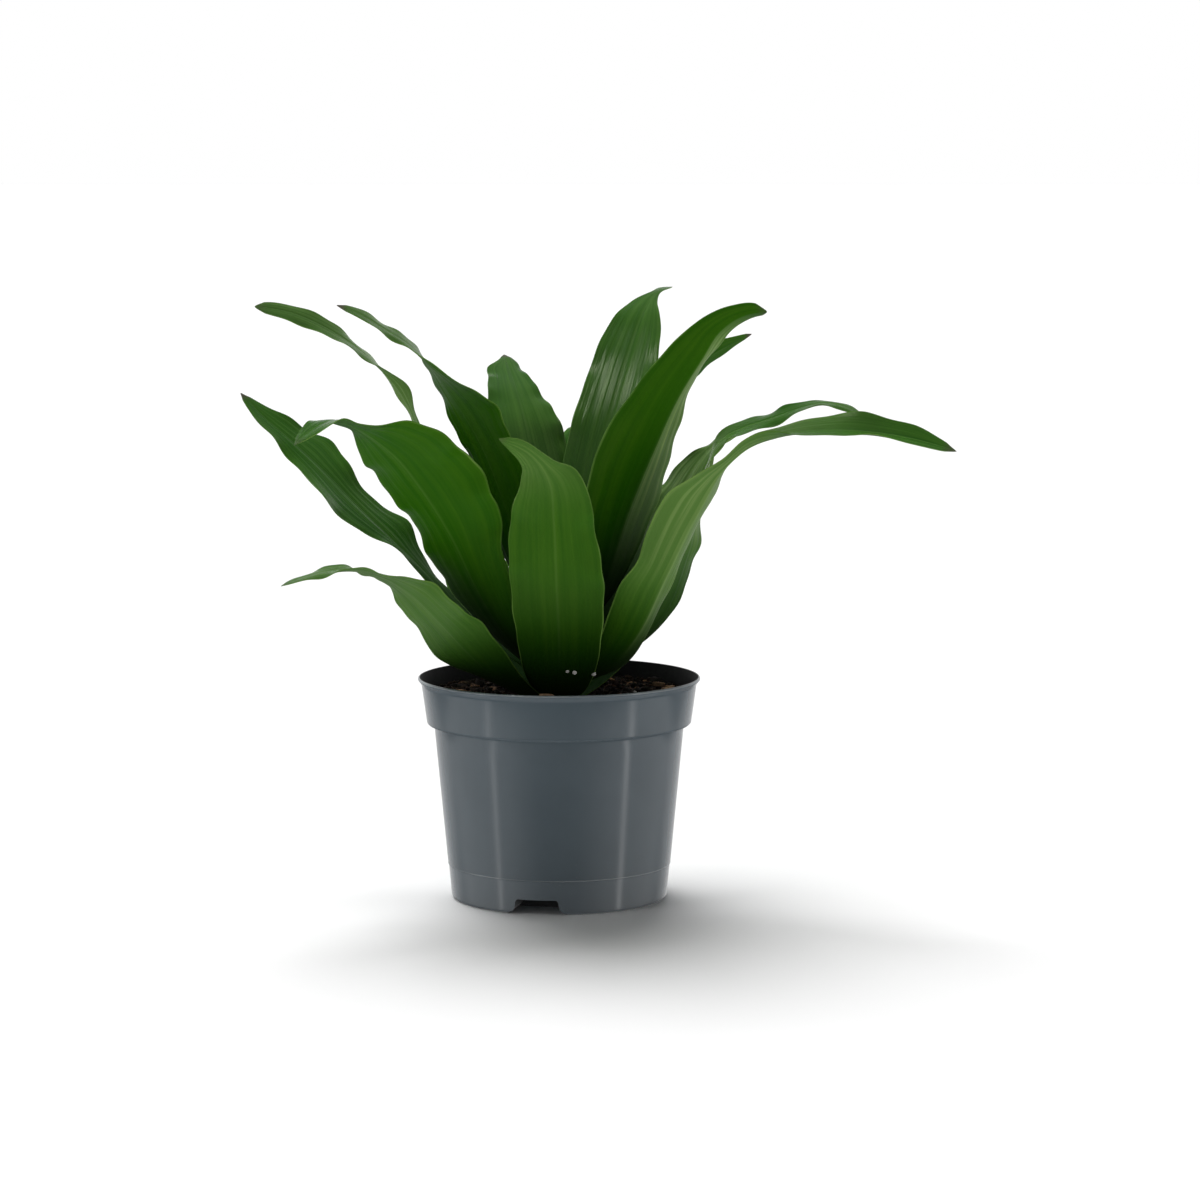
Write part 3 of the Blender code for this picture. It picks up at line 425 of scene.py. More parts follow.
def smooth_through(places, values, at):
    """Smooth curve through the values given at increasing places, read at other places.

    Each stretch is a cubic whose slope at an inner place is the mean of the
    slopes beside it, each weighted by the other's length.
    """
    places = np.asarray(places, dtype=float)
    values = np.asarray(values, dtype=float).reshape(len(places), -1)
    step = np.diff(places)[:, None]
    slope = np.diff(values, axis=0) / step
    tangent = np.repeat(slope[:1], len(places), axis=0)
    if len(places) > 2:
        tangent[1:-1] = (slope[:-1] * step[1:] + slope[1:] * step[:-1]) / (step[1:] + step[:-1])
        tangent[0] = 1.5 * slope[0] - 0.5 * tangent[1]
        tangent[-1] = 1.5 * slope[-1] - 0.5 * tangent[-2]
    cell = np.clip(np.searchsorted(places, at, side="right") - 1, 0, len(places) - 2)
    share = ((at - places[cell]) / np.diff(places)[cell])[:, None]
    width = step[cell]
    return (values[cell] * (2 * share**3 - 3 * share**2 + 1)
            + tangent[cell] * width * (share**3 - 2 * share**2 + share)
            + values[cell + 1] * (3 * share**2 - 2 * share**3)
            + tangent[cell + 1] * width * (share**3 - share**2))


def station(stations, at):
    """Values of the stations' columns at places along the blade."""
    return smooth_through([entry[0] for entry in stations], [entry[1:] for entry in stations], at)


def lattice_noise(x, y, seed):
    """Random heights from -1 to 1 at whole-number places, blended smoothly between them."""
    table = np.random.default_rng(seed).uniform(-1.0, 1.0, (NOISE_CELLS, NOISE_CELLS))
    left = np.floor(x).astype(int)
    low = np.floor(y).astype(int)
    along = smooth_step(x - left, 0.0, 1.0)
    up = smooth_step(y - low, 0.0, 1.0)

    def blend(row):
        row = row % NOISE_CELLS
        return table[row, left % NOISE_CELLS] * (1 - along) + table[row, (left + 1) % NOISE_CELLS] * along

    return blend(low) * (1 - up) + blend(low + 1) * up


def lumps(points, size, seed):
    """Smooth random value at 3-D points: the mean of five sines along random directions."""
    random = np.random.default_rng(seed)
    waves = random.normal(size=(5, 3)) / size
    starts = random.uniform(0.0, FULL_TURN, 5)
    return np.sin(points @ waves.T + starts).mean(axis=-1)


def once_round(steps):
    return np.linspace(0.0, FULL_TURN, steps, endpoint=False)


# Meshes

def add_object(name, data, *materials):
    item = bpy.data.objects.new(name, data)
    bpy.context.scene.collection.objects.link(item)
    for material in materials:
        data.materials.append(material)
    return item


def ring_faces(rows, around):
    """Four-sided faces between neighbouring rings, and fans that close the ends.

    The fans meet in the two points that come after the rings' own.
    """
    index = np.arange(rows * around).reshape(rows, around)
    onward = np.roll(index, -1, axis=1)
    sides = np.stack((index[:-1], onward[:-1], onward[1:], index[1:]), axis=-1).reshape(-1, 4)
    first, last = (np.full(around, rows * around + end) for end in (0, 1))
    start = np.stack((onward[0], index[0], first), axis=-1)
    end = np.stack((index[-1], onward[-1], last), axis=-1)
    return sides, np.concatenate((start, end))


def cut_in_threes(sides, fans):
    return np.concatenate((sides[:, [0, 1, 2]], sides[:, [0, 2, 3]], fans))


def points_inwards(threes, points):
    """Whether the closed surface of three-sided faces is inside out: its volume isn't above zero."""
    first, second, third = (points[threes[:, column]] for column in range(3))
    return np.einsum("ij,ij->", first, np.cross(second, third)) <= 0.0


def make_piece(name, points, corners, counts, materials, uv=None, face_materials=None, marks=None):
    """A smooth piece. Its faces are given as all their corners in turn, and each face's count of corners.

    uv gives each point two numbers, face_materials picks the material of each
    face, and marks are named attributes of one number per point.
    """
    mesh = bpy.data.meshes.new(name)
    mesh.vertices.add(len(points))
    mesh.vertices.foreach_set("co", (points * MM).ravel())
    mesh.loops.add(len(corners))
    mesh.loops.foreach_set("vertex_index", corners)
    mesh.polygons.add(len(counts))
    mesh.polygons.foreach_set("loop_start", np.cumsum(counts) - counts)
    mesh.polygons.foreach_set("use_smooth", np.ones(len(counts), dtype=bool))
    item = add_object(name, mesh, *materials)
    if face_materials is not None:
        mesh.polygons.foreach_set("material_index", face_materials)
    if uv is not None:
        mesh.uv_layers.new(name="surface").data.foreach_set("uv", uv[corners].ravel())
    for title, values in (marks or {}).items():
        mesh.attributes.new(title, "FLOAT", "POINT").data.foreach_set("value", values)
    mesh.update(calc_edges=True)
    mesh.validate()
    return item


def skin(name, rings, materials, uv=None, face_material=None, marks=None):
    """One closed piece from rings of points.

    rings has the shape (rings, points in a ring, 3). Neighbouring rings are
    joined by four-sided faces, and a fan to the middle closes each end. uv
    and marks have the rings' shape too, and face_material picks the material
    of each place round a ring.
    """

    def with_middles(values):
        middles = values[0].mean(axis=0)[None], values[-1].mean(axis=0)[None]
        return np.concatenate((values.reshape(-1, values.shape[-1]), *middles))

    rows, around = rings.shape[:2]
    points = with_middles(rings)
    sides, fans = ring_faces(rows, around)
    if points_inwards(cut_in_threes(sides, fans), points):
        sides, fans = sides[:, ::-1], fans[:, ::-1]
    corners = np.concatenate((sides.ravel(), fans.ravel()))
    counts = np.repeat((4, 3), (len(sides), len(fans)))
    uv = None if uv is None else with_middles(uv)
    face_materials = None if face_material is None else np.tile(face_material, rows + 1)
    marks = {title: np.append(values, (values[0, 0], values[-1, 0]))
             for title, values in (marks or {}).items()}
    return make_piece(name, points, corners, counts, materials, uv, face_materials, marks)


def many(name, rings, material, shade):
    """One piece of many small closed bodies. rings has the shape (bodies, rings, points in a ring, 3)."""
    bodies, rows, around = rings.shape[:3]
    middles = np.stack((rings[:, 0].mean(axis=1), rings[:, -1].mean(axis=1)), axis=1)
    points = np.concatenate((rings.reshape(bodies, -1, 3), middles), axis=1)
    one = cut_in_threes(*ring_faces(rows, around))
    if points_inwards(one, points[0]):
        one = one[:, ::-1]
    per_body = points.shape[1]
    faces = (one[None] + per_body * np.arange(bodies)[:, None, None]).reshape(-1, 3)
    return make_piece(name, points.reshape(-1, 3), faces.ravel(), np.full(len(faces), 3), [material],
                      marks={"shade": np.repeat(shade, per_body)})


def keep(item, slot, *nodes):
    """The piece stays with the pot and plant, and stands for the nodes given."""
    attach(item, "root")
    if nodes:
        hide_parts(*nodes)


# Shader nodes

class Shading:
    """The nodes of one material or of the world. Their inputs are values or other nodes' sockets."""

    def __init__(self, owner):
        owner.use_nodes = True
        self.owner = owner
        self.nodes = owner.node_tree.nodes
        self.links = owner.node_tree.links

    def feed(self, socket, value):
        if isinstance(value, bpy.types.NodeSocket):
            self.links.new(value, socket)
        else:
            socket.default_value = value

    def node(self, kind, inputs=None, **settings):
        """Outputs of a new node."""
        made = self.nodes.new("ShaderNode" + kind)
        for key, value in settings.items():
            setattr(made, key, value)
        for key, value in (inputs or {}).items():
            self.feed(made.inputs[key], value)
        return made.outputs

    def place(self):
        return self.node("TexCoord")["Object"]

    def parts(self, vector):
        return self.node("SeparateXYZ", {0: vector})

    def mark(self, title):
        return self.node("Attribute", attribute_name=title)["Fac"]

    def calculate(self, operation, first, second=0.0):
        return self.node("Math", {0: first, 1: second}, operation=operation)[0]

    def plus(self, first, second):
        return self.calculate("ADD", first, second)

    def minus(self, first, second):
        return self.calculate("SUBTRACT", first, second)

    def times(self, first, second):
        return self.calculate("MULTIPLY", first, second)

    def larger(self, first, second):
        return self.calculate("MAXIMUM", first, second)

    def size(self, value):
        return self.calculate("ABSOLUTE", value)

    def band(self, value, start, end, low=0.0, high=1.0):
        """Goes smoothly from low to high as value goes from start to end."""
        inputs = {"Value": value, "From Min": start, "From Max": end, "To Min": low, "To Max": high}
        return self.node("MapRange", inputs, interpolation_type="SMOOTHSTEP")[0]

    def noise(self, scale, detail=3.0, roughness=0.55, vector=None):
        """Noise over the piece's own coordinates, or over another vector."""
        inputs = {"Vector": self.place() if vector is None else vector,
                  "Scale": scale, "Detail": detail, "Roughness": roughness}
        return self.node("TexNoise", inputs)["Fac"]

    def mix(self, factor, first, second):
        first, second = (
            (*colour, 1.0) if isinstance(colour, tuple) else colour for colour in (first, second))
        return self.node("Mix", {0: factor, 6: first, 7: second}, data_type="RGBA")[2]

    def shader(self, **sockets):
        """Feeds the Principled shader's sockets. An underscore stands for a space in their names."""
        for title, value in sockets.items():
            self.feed(self.nodes["Principled BSDF"].inputs[title.replace("_", " ")], value)

    def coat(self, colour, relief, strength, depth):
        """The finished material, with its colour and with a relief whose depth is in millimetres."""
        bump = self.node("Bump", {"Height": relief, "Strength": strength, "Distance": depth * MM})
        self.shader(Base_Color=colour, Normal=bump["Normal"])
        return self.owner


def new_material(name, **numbers):
    """Shading of a new material, with numbers on its shader's sockets."""
    shading = Shading(bpy.data.materials.new(name))
    shading.shader(**numbers)
    return shading


# Materials

def leaf_material(name, tones, sheen, gloss, index):
    """Leaf blade: lengthwise veins and streaks, a fine pale margin, painted shade on its foot and a
    withered tip.

    The blade's own map gives the share of its length and of its width, so
    the veins run with the blade and meet at its tip. The shade attribute is
    the leaf's number in its whole part and the dryness in its fraction. Where
    the pale attribute is high, the blade is pale green with paler stripes:
    partly its own bloom, partly painted light and painted reflection. Where
    the foot attribute is low, painted shade makes it almost black, and it is
    matt. The pale margin is partly painted edge light.
    """
    tree = new_material(name, IOR=index, Specular_Tint=sheen)
    along, across, _ = tree.parts(tree.node("UVMap", uv_map="surface")[0])
    number, dryness = (tree.calculate(part, tree.mark("shade")) for part in ("FLOOR", "FRACT"))
    from_rib = tree.size(tree.minus(tree.times(across, 2.0), 1.0))

    def streaks(length_scale, width_scale, detail):
        scaled = ((along, length_scale), (across, width_scale), (number, 3.7))
        stretched = tree.node("CombineXYZ", {part: tree.times(*pair) for part, pair in enumerate(scaled)})
        return tree.noise(1.0, detail, vector=stretched[0])

    fine = streaks(3.0, 70.0, 3.0)
    broad = streaks(1.4, 11.0, 2.0)
    blotch = tree.noise(28.0)
    tone = tree.plus(tree.times(broad, 0.9), tree.times(fine, 0.35))
    tone = tree.band(tree.plus(tone, tree.times(blotch, 0.35)), 0.5, 1.15)
    colour = tree.mix(tone, *tones)

    # Pale halves: partly the blade's own bloom and stripes, partly painted light and painted reflection
    stripe = tree.larger(tree.band(broad, 0.46, 0.60), tree.band(from_rib, 0.0, 0.08, 1.0, 0.0))
    stripe = tree.times(stripe, tree.band(fine, 0.3, 0.6, 0.5, 1.0))
    pale = tree.mark("pale")
    striped = tree.mix(tree.times(stripe, pale), PALE_GREEN_AND_PAINTED_LIGHT, PALE_STRIPE_AND_PAINTED_SHEEN)
    # A faint paler midrib line, the blade's own colour
    colour = tree.mix(tree.band(from_rib, 0.0, 0.05, 0.07, 0.0), colour, PALE_STRIPE_AND_PAINTED_SHEEN)
    colour = tree.mix(pale, colour, striped)
    # Painted shade: the blade's foot goes almost black, and rougher
    foot = tree.mark("foot")
    colour = tree.mix(foot, PAINTED_SHADE_GREEN, colour)
    # A fine margin: partly its own paler green, partly painted edge light
    margin = tree.times(tree.band(from_rib, 0.965, 0.99), tree.band(blotch, 0.35, 0.65, 0.1, 0.6))
    colour = tree.mix(margin, colour, PALE_MARGIN_AND_PAINTED_EDGE_LIGHT)
    ragged = tree.plus(along, tree.times(fine, 0.03))
    colour = tree.mix(tree.times(tree.band(ragged, 0.985, 1.010), dryness), colour, WITHERED)

    rough = tree.plus(tree.times(fine, 0.16), gloss)
    tree.shader(Roughness=tree.plus(rough, tree.band(foot, 0.1, 0.9, 0.6, 0.0)))
    veins = tree.calculate("SINE", tree.times(across, FULL_TURN * 26.0))
    relief = tree.plus(tree.times(veins, 0.22), fine)
    return tree.coat(colour, tree.plus(relief, tree.times(blotch, 1.2)), 0.5, 0.10)


def pot_material():
    """Moulded dark blue-grey plastic: satin, with flow clouds, painted highlights on lip and parting line,
    and dust.

    Below the parting line painted light makes the plastic a little paler, and
    the dust grows denser towards the foot.
    """
    tree = new_material("pot_plastic", IOR=1.49)
    height = tree.parts(tree.place())[2]
    clouds = tree.noise(24.0)
    speck = tree.noise(900.0, 2.0, 0.7)
    colour = tree.mix(tree.band(clouds, 0.3, 0.7), *PLASTIC_TONES)
    # Painted light: below the parting line the plastic is made a little paler, against the shade near the
    # floor
    foot = tree.band(height, (PARTING_HEIGHT - 0.6) * MM, (PARTING_HEIGHT - 0.2) * MM, 0.12, 0.0)
    colour = tree.mix(foot, colour, PAINTED_LIGHT_FOOT)
    # Painted highlights: a thin pale line along the parting line and a band round the lip
    from_line = tree.size(tree.minus(height, (PARTING_HEIGHT - 0.1) * MM))
    line = tree.times(tree.band(from_line, 0.1 * MM, 0.3 * MM, 1.0, 0.0),
                      tree.band(clouds, 0.35, 0.6, 0.1, 0.5))
    lip = tree.times(tree.band(height, (POT_HEIGHT - 0.9) * MM, (POT_HEIGHT - 0.5) * MM),
                     tree.band(clouds, 0.35, 0.6, 0.15, 0.45))
    colour = tree.mix(tree.larger(line, lip), colour, PAINTED_EDGE_HIGHLIGHT)
    dust = tree.times(tree.band(speck, 0.68, 0.76), tree.band(height, 40.0 * MM, 0.0, 0.10, 0.6))
    colour = tree.mix(tree.times(dust, 0.30), colour, DUST)
    tree.shader(Roughness=tree.band(clouds, 0.3, 0.7, 0.13, 0.18))
    return tree.coat(colour, tree.plus(clouds, tree.times(speck, 0.03)), 0.15, 0.35)


def pot_inside_material():
    """Inside of the pot, almost black with painted shade, and its recesses under the floor paler with
    painted light.
    """
    tree = new_material("pot_inside", Roughness=0.6, Specular_IOR_Level=0.08)
    # Painted shade: the inside wall is made almost black, with a mottle
    inside_mottle = tree.noise(160.0, 4.0, 0.6)
    colour = tree.mix(tree.band(inside_mottle, 0.35, 0.65), *PAINTED_SHADE_TONES)
    height = tree.parts(tree.place())[2]
    # Painted light: the recesses under the floor are made paler grey
    recess = tree.band(height, (DRAIN_HEIGHT + 0.2) * MM, INNER_FLOOR * MM, 1.0, 0.0)
    return tree.coat(tree.mix(recess, colour, PAINTED_LIGHT_GREY), inside_mottle, 0.4, 0.2)


def soil_material():
    """Moist dark peat with rusty bits."""
    tree = new_material("peat", Roughness=0.9, Specular_IOR_Level=0.25)
    coarse = tree.noise(330.0, 4.0, 0.65)
    fine = tree.noise(1400.0, 3.0, 0.7)
    colour = tree.mix(tree.band(coarse, 0.35, 0.7), *PEAT_TONES)
    colour = tree.mix(tree.band(fine, 0.66, 0.8, 0.0, 0.5), colour, RUSTY_PEAT)
    return tree.coat(colour, tree.plus(coarse, tree.times(fine, 0.5)), 0.9, 0.5)


def grain_material(name, tones, rough, scale):
    """Bits whose colour goes from dark to light with their own shade, with a mottled grain."""
    tree = new_material(name, Roughness=rough, Specular_IOR_Level=0.3)
    mottle = tree.noise(scale, 3.0, 0.65)
    tone = tree.plus(tree.times(tree.mark("shade"), 0.7), tree.times(mottle, 0.6))
    return tree.coat(tree.mix(tree.band(tone, 0.15, 1.1), *tones), mottle, 0.7, 0.25)


def bark_material():
    """Dry bark: drawn-out tan and brown grain with dark cracks."""
    tree = new_material("dry_bark", Roughness=0.85, Specular_IOR_Level=0.25)
    drawn = {"Vector": tree.node("UVMap", uv_map="surface")[0], "Scale": (1.5, 16.0, 1.0)}
    grain = tree.noise(1.0, 4.0, 0.6, tree.node("Mapping", drawn)[0])
    mottle = tree.noise(420.0)
    colour = tree.mix(tree.band(grain, 0.3, 0.7), *BARK_TONES)
    colour = tree.mix(tree.band(mottle, 0.55, 0.75, 0.0, 0.75), colour, BARK_CRACK)
    return tree.coat(colour, tree.plus(grain, tree.times(mottle, 0.6)), 0.9, 0.4)


def cane_material():
    """Young cane: green and tan between the brown scars left by fallen leaves."""
    tree = new_material("young_cane", Roughness=0.6, Specular_IOR_Level=0.3)
    height = tree.parts(tree.place())[2]
    turns = tree.calculate("FRACT", tree.times(height, 1.0 / (SCAR_SPACING * MM)))
    mottle = tree.noise(180.0, 4.0)
    colour = tree.mix(tree.band(mottle, 0.3, 0.7), *CANE_TONES)
    colour = tree.mix(tree.band(turns, 0.78, 0.95, 0.0, 0.8), colour, CANE_SCAR)
    return tree.coat(colour, mottle, 0.6, 0.3)


# Pot

def arc(centre, radius, start, end, steps):
    """Points (r, z) on a round corner, both ends included."""
    angles = np.radians(np.linspace(start, end, steps + 1))
    return [(centre[0] + radius * math.cos(a), centre[1] + radius * math.sin(a)) for a in angles]


def revolve(outline, steps):
    """Rings of a turned shape: each outline point (r, z) goes round the axis in equal steps."""
    radius, height = np.array(outline, dtype=float).T[..., None]
    angle = once_round(steps)
    height = np.repeat(height, steps, axis=1)
    return np.stack((radius * np.cos(angle), radius * np.sin(angle), height), axis=-1)


def inner_wall():
    """Outline (r, z) of the pot's inside, from the mouth down to the floor."""
    return [
        (MOUTH_RADIUS - MOUTH_BEVEL, POT_HEIGHT - LIP_ROUNDING),
        (COLLAR_TOP_RADIUS - WALL, POT_HEIGHT - FLARE_DEPTH),
        (COLLAR_FOOT_RADIUS - WALL, COLLAR_FOOT + 2.0 * WALL),
        (SHOULDER_RADIUS - WALL, COLLAR_FOOT + 0.5 * WALL),
        (BODY_FOOT_RADIUS - WALL, PARTING_HEIGHT),
        (FOOT_RADIUS - 2.0 * WALL, INNER_FLOOR + WALL),
        (FOOT_RADIUS - 3.0 * WALL, INNER_FLOOR),
    ]


def inner_radius(height):
    radii, heights = zip(*reversed(inner_wall()))
    return np.interp(height, heights, radii)


def pot_outline():
    """Outline (r, z) from the middle of the underside, up the outside, over the lip and down inside."""
    lip = (RIM_RADIUS - LIP_ROUNDING, POT_HEIGHT - LIP_ROUNDING)
    foot = (FOOT_RADIUS - FOOT_ROUNDING, FOOT_ROUNDING)
    collar_edge = (COLLAR_FOOT_RADIUS - COLLAR_ROUNDING, COLLAR_FOOT + COLLAR_ROUNDING)
    step_top = BODY_FOOT_RADIUS - PARTING_STEP
    body = np.linspace(PARTING_HEIGHT, COLLAR_FOOT - 1.0, 12)
    body_radii = np.interp(body, (body[0], body[-1]), (BODY_FOOT_RADIUS, SHOULDER_RADIUS))
    outline = [(0.5, 0.0), (20.0, 0.0), (36.0, 0.0)]
    outline += arc(foot, FOOT_ROUNDING, -90, 0, 8)
    outline += [(step_top - 0.02, PARTING_HEIGHT - 0.55)]
    outline += arc((step_top, PARTING_HEIGHT - 0.2), 0.35, -60, 40, 3)
    outline += zip(body_radii, body)
    outline += [(SHOULDER_RADIUS + 0.12, COLLAR_FOOT - 0.5), (SHOULDER_RADIUS + 0.45, COLLAR_FOOT - 0.12)]
    outline += arc(collar_edge, COLLAR_ROUNDING, -86, 0, 6)
    share = np.linspace(0.0, 1.0, 7)[:-1]
    edge = arc(lip, LIP_ROUNDING, -35, 90, 10)
    flare = COLLAR_TOP_RADIUS + (edge[0][0] - COLLAR_TOP_RADIUS) * share**1.5
    outline += zip(flare, POT_HEIGHT - FLARE_DEPTH + (edge[0][1] - POT_HEIGHT + FLARE_DEPTH) * share)
    outline += [*edge, (MOUTH_RADIUS, POT_HEIGHT - 0.02), *inner_wall()]
    return outline + [(30.0, INNER_FLOOR), (0.5, INNER_FLOOR)]


def drain_section():
    """Section (half width, height) of a drain recess, mirrored from one side.

    The sides close in a little towards the rounded top, and flare out at the
    foot by a width that dies away with the height.
    """
    corner = (DRAIN_HALF_WIDTH - DRAIN_ROUNDING, DRAIN_HEIGHT - DRAIN_ROUNDING)
    height = np.linspace(-1.0, corner[1], 16)
    flare = DRAIN_FLARE * np.exp(-np.maximum(height, 0.0) / DRAIN_FLARE_HEIGHT)
    half = DRAIN_HALF_WIDTH + DRAIN_LEAN * (DRAIN_HEIGHT - height) + flare
    side = [*zip(half, height), *arc(corner, DRAIN_ROUNDING, 15, 90, 6)]
    return side + [(-width, up) for width, up in reversed(side)]


def drain_cutters():
    """Channels carried along the recesses' section, and pegs, that cut the recesses and their holes."""
    shape = bmesh.new()
    section = drain_section()
    for azimuth in DRAIN_AZIMUTHS:
        inner, outer = (
            [shape.verts.new((along * MM, half * MM, height * MM)) for half, height in section]
            for along in (DRAIN_START, DRAIN_END))
        shape.faces.new(reversed(inner))
        shape.faces.new(outer)
        for index in range(len(section)):
            shape.faces.new((inner[index - 1], inner[index], outer[index], outer[index - 1]))
        angle = math.radians(azimuth)
        bmesh.ops.rotate(shape, verts=inner + outer, cent=(0, 0, 0), matrix=Matrix.Rotation(angle, 3, "Z"))
        hole_at, hole_radius = DRAIN_HOLE_AT * MM, DRAIN_HOLE_RADIUS * MM
        place = (hole_at * math.cos(angle), hole_at * math.sin(angle), INNER_FLOOR * MM)
        bmesh.ops.create_cone(
            shape, cap_ends=True, segments=48, radius1=hole_radius, radius2=hole_radius,
            depth=4.0 * WALL * MM, matrix=Matrix.Translation(place))
    bmesh.ops.recalc_face_normals(shape, faces=shape.faces)
    cutters = bpy.data.meshes.new("drain_cutters")
    shape.to_mesh(cutters)
    shape.free()
    return add_object("drain_cutters", cutters)


def build_pot():
    """Turned shell with a rolled lip, a collar, a parting line and three drain recesses."""
    pot = skin("nursery_pot", revolve(pot_outline(), POT_STEPS), [pot_material(), pot_inside_material()])
    cutters = drain_cutters()
    cut = pot.modifiers.new("recesses", "BOOLEAN")
    cut.operation = "DIFFERENCE"
    cut.solver = "EXACT"
    cut.object = cutters
    bpy.context.view_layer.update()
    shaped = bpy.data.meshes.new_from_object(pot.evaluated_get(bpy.context.evaluated_depsgraph_get()))
    pot.modifiers.clear()
    pot.data = shaped
    bpy.data.objects.remove(cutters, do_unlink=True)
    shaped.set_sharp_from_angle(angle=math.radians(40.0))
    # Faces inside the wall and in the recesses take the inside material, with its painted shade and painted
    # light
    centres = np.empty(3 * len(shaped.polygons))
    shaped.polygons.foreach_get("center", centres)
    x, y, z = centres.reshape(-1, 3).T / MM
    within = (np.hypot(x, y) < inner_radius(z) + 0.5 * WALL) & (z > 0.1)
    shaped.polygons.foreach_set("material_index", within.astype(np.int32))
    keep(pot, "pot", "pot")


# Soil and what lies on it

def soil_height(x, y):
    """Height of the soil's top: lower round the cane, with a gentle ripple."""
    radius = np.hypot(x, y)
    ripple = np.sin(0.61 * x + 0.35 * y) + np.sin(0.47 * y - 0.52 * x + 1.1)
    ripple = ripple + 0.7 * np.sin(0.93 * y + 0.21 * x)
    hollow = SOIL_HOLLOW * (1.0 - smooth_step(radius, HOLLOW_INNER, HOLLOW_OUTER))
    return SOIL_LEVEL - hollow + RIPPLE_HEIGHT * ripple / 2.7


def crumbly_height(x, y):
    """The soil's top with its crumbs: three sizes of random lumps added to the ripple."""
    coarse, middle, fine = (
        rise * lattice_noise(x / size, y / size, seed) for seed, (size, rise) in enumerate(CRUMBS, start=1))
    return soil_height(x, y) + coarse + np.abs(middle) + fine


def build_soil():
    """Body of soil: a crumbly top on rings, and a side that follows the pot's wall."""
    edge = inner_radius(SOIL_LEVEL) - GAP
    radii = np.concatenate((np.linspace(0.4, 9.0, 6), np.linspace(9.8, edge, 74)))
    top = revolve([(radius, 0.0) for radius in radii], SOIL_STEPS)
    under_cane = smooth_step(radii, *HOLE_EDGE)[:, None]
    crumbly = crumbly_height(top[..., 0], top[..., 1])
    top[..., 2] = crumbly * under_cane + (CANE_FOOT - GAP) * (1.0 - under_cane)
    side = [(radius - GAP, height) for radius, height in inner_wall() if height < SOIL_LEVEL - 5.0]
    side = revolve(side + [(0.5, INNER_FLOOR + GAP)], SOIL_STEPS)
    side[-2:, :, 2] = INNER_FLOOR + GAP
    keep(skin("peat_soil", np.concatenate((top, side)), [soil_material()]), "soil", "soil")


def ball_rings(rows, around):
    """Rings of a unit ball, without its poles."""
    tilt = np.linspace(0.0, math.pi, rows + 2)[1:-1]
    return revolve(np.stack((np.sin(tilt), np.cos(tilt)), axis=-1), around)


def turned_at_random(random, count):
    """Random rotation matrices, from random unit quaternions."""
    parts = random.normal(size=(4, count))
    w, x, y, z = parts / np.linalg.norm(parts, axis=0)
    return np.stack((
        1 - 2 * (y * y + z * z), 2 * (x * y - z * w), 2 * (x * z + y * w),
        2 * (x * y + z * w), 1 - 2 * (x * x + z * z), 2 * (y * z - x * w),
        2 * (x * z - y * w), 2 * (y * z + x * w), 1 - 2 * (x * x + y * y)), axis=-1).reshape(count, 3, 3)


def spots_on_soil(random, count, inner, outer):
    """Random places on the ring of soil between two radii, evenly spread."""
    radius = np.sqrt(random.uniform(inner**2, outer**2, count))
    angle = random.uniform(0.0, FULL_TURN, count)
    return radius * np.cos(angle), radius * np.sin(angle)


def scatter_bits(name, slot, material, count, low, high, flatness, seed):
    """Irregular bits lying on the soil: unit balls, made lumpy, stretched, turned and sunk in a little."""
    random = np.random.default_rng(seed)
    ball = ball_rings(4, 7)
    sizes = random.uniform(low, high, (count, 1))
    sizes = sizes * random.uniform((0.6, 0.6, 0.6), (1.3, 1.0, 1.0), (count, 3))
    knobs = 1.0 + 0.32 * random.uniform(-1.0, 1.0, (count, *ball.shape[:2], 1))
    bodies = ball[None] * knobs * sizes[:, None, None, :]
    bodies = np.einsum("nij,nrcj->nrci", turned_at_random(random, count), bodies)
    bodies[..., 2] *= flatness
    x, y = spots_on_soil(random, count, 13.0, inner_radius(SOIL_LEVEL) - 1.0 - high)
    z = crumbly_height(x, y) + flatness * sizes.mean(axis=1) * (1.0 - 2.0 * BIT_SINK)
    bodies += np.stack((x, y, z), axis=-1)[:, None, None, :]
    keep(many(name, bodies, material, random.uniform(0.0, 1.0, count) ** 2), slot)


def scatter_fibres(material, count, seed):
    """Peat fibres: thin tubes that bend sideways and lie over the crumbs."""
    random = np.random.default_rng(seed)
    rows = 8
    share = np.linspace(0.0, 1.0, rows)
    ranges = ((3.0, 11.0), (0.0, FULL_TURN), (-1.1, 1.1))
    length, heading, bend = (random.uniform(low, high, count)[:, None] for low, high in ranges)
    x, y = spots_on_soil(random, count, 16.0, inner_radius(SOIL_LEVEL) - 7.0)
    turned = heading + bend * share
    step = length / (rows - 1)
    x = x[:, None] + np.cumsum(np.cos(turned) * step, axis=1) - 0.5 * length * np.cos(heading)
    y = y[:, None] + np.cumsum(np.sin(turned) * step, axis=1) - 0.5 * length * np.sin(heading)
    thickness = random.uniform(0.10, 0.30, count)[:, None] * (1.0 - 0.6 * np.abs(2.0 * share - 1.0) ** 3)
    lift = random.uniform(0.1, 0.9, count)[:, None] * np.sin(math.pi * share)
    z = np.maximum(crumbly_height(x, y), soil_height(x, y)) + thickness + lift
    angle = once_round(4)[:, None]
    aside = np.stack((-np.sin(turned), np.cos(turned), np.zeros_like(turned)), axis=-1)[:, :, None, :]
    tube = aside * np.cos(angle) + np.array((0.0, 0.0, 1.0)) * np.sin(angle)
    bodies = np.stack((x, y, z), axis=-1)[:, :, None, :] + tube * thickness[:, :, None, None]
    keep(many("peat_fibres", bodies, material, random.uniform(0.0, 1.0, count)), "bark")


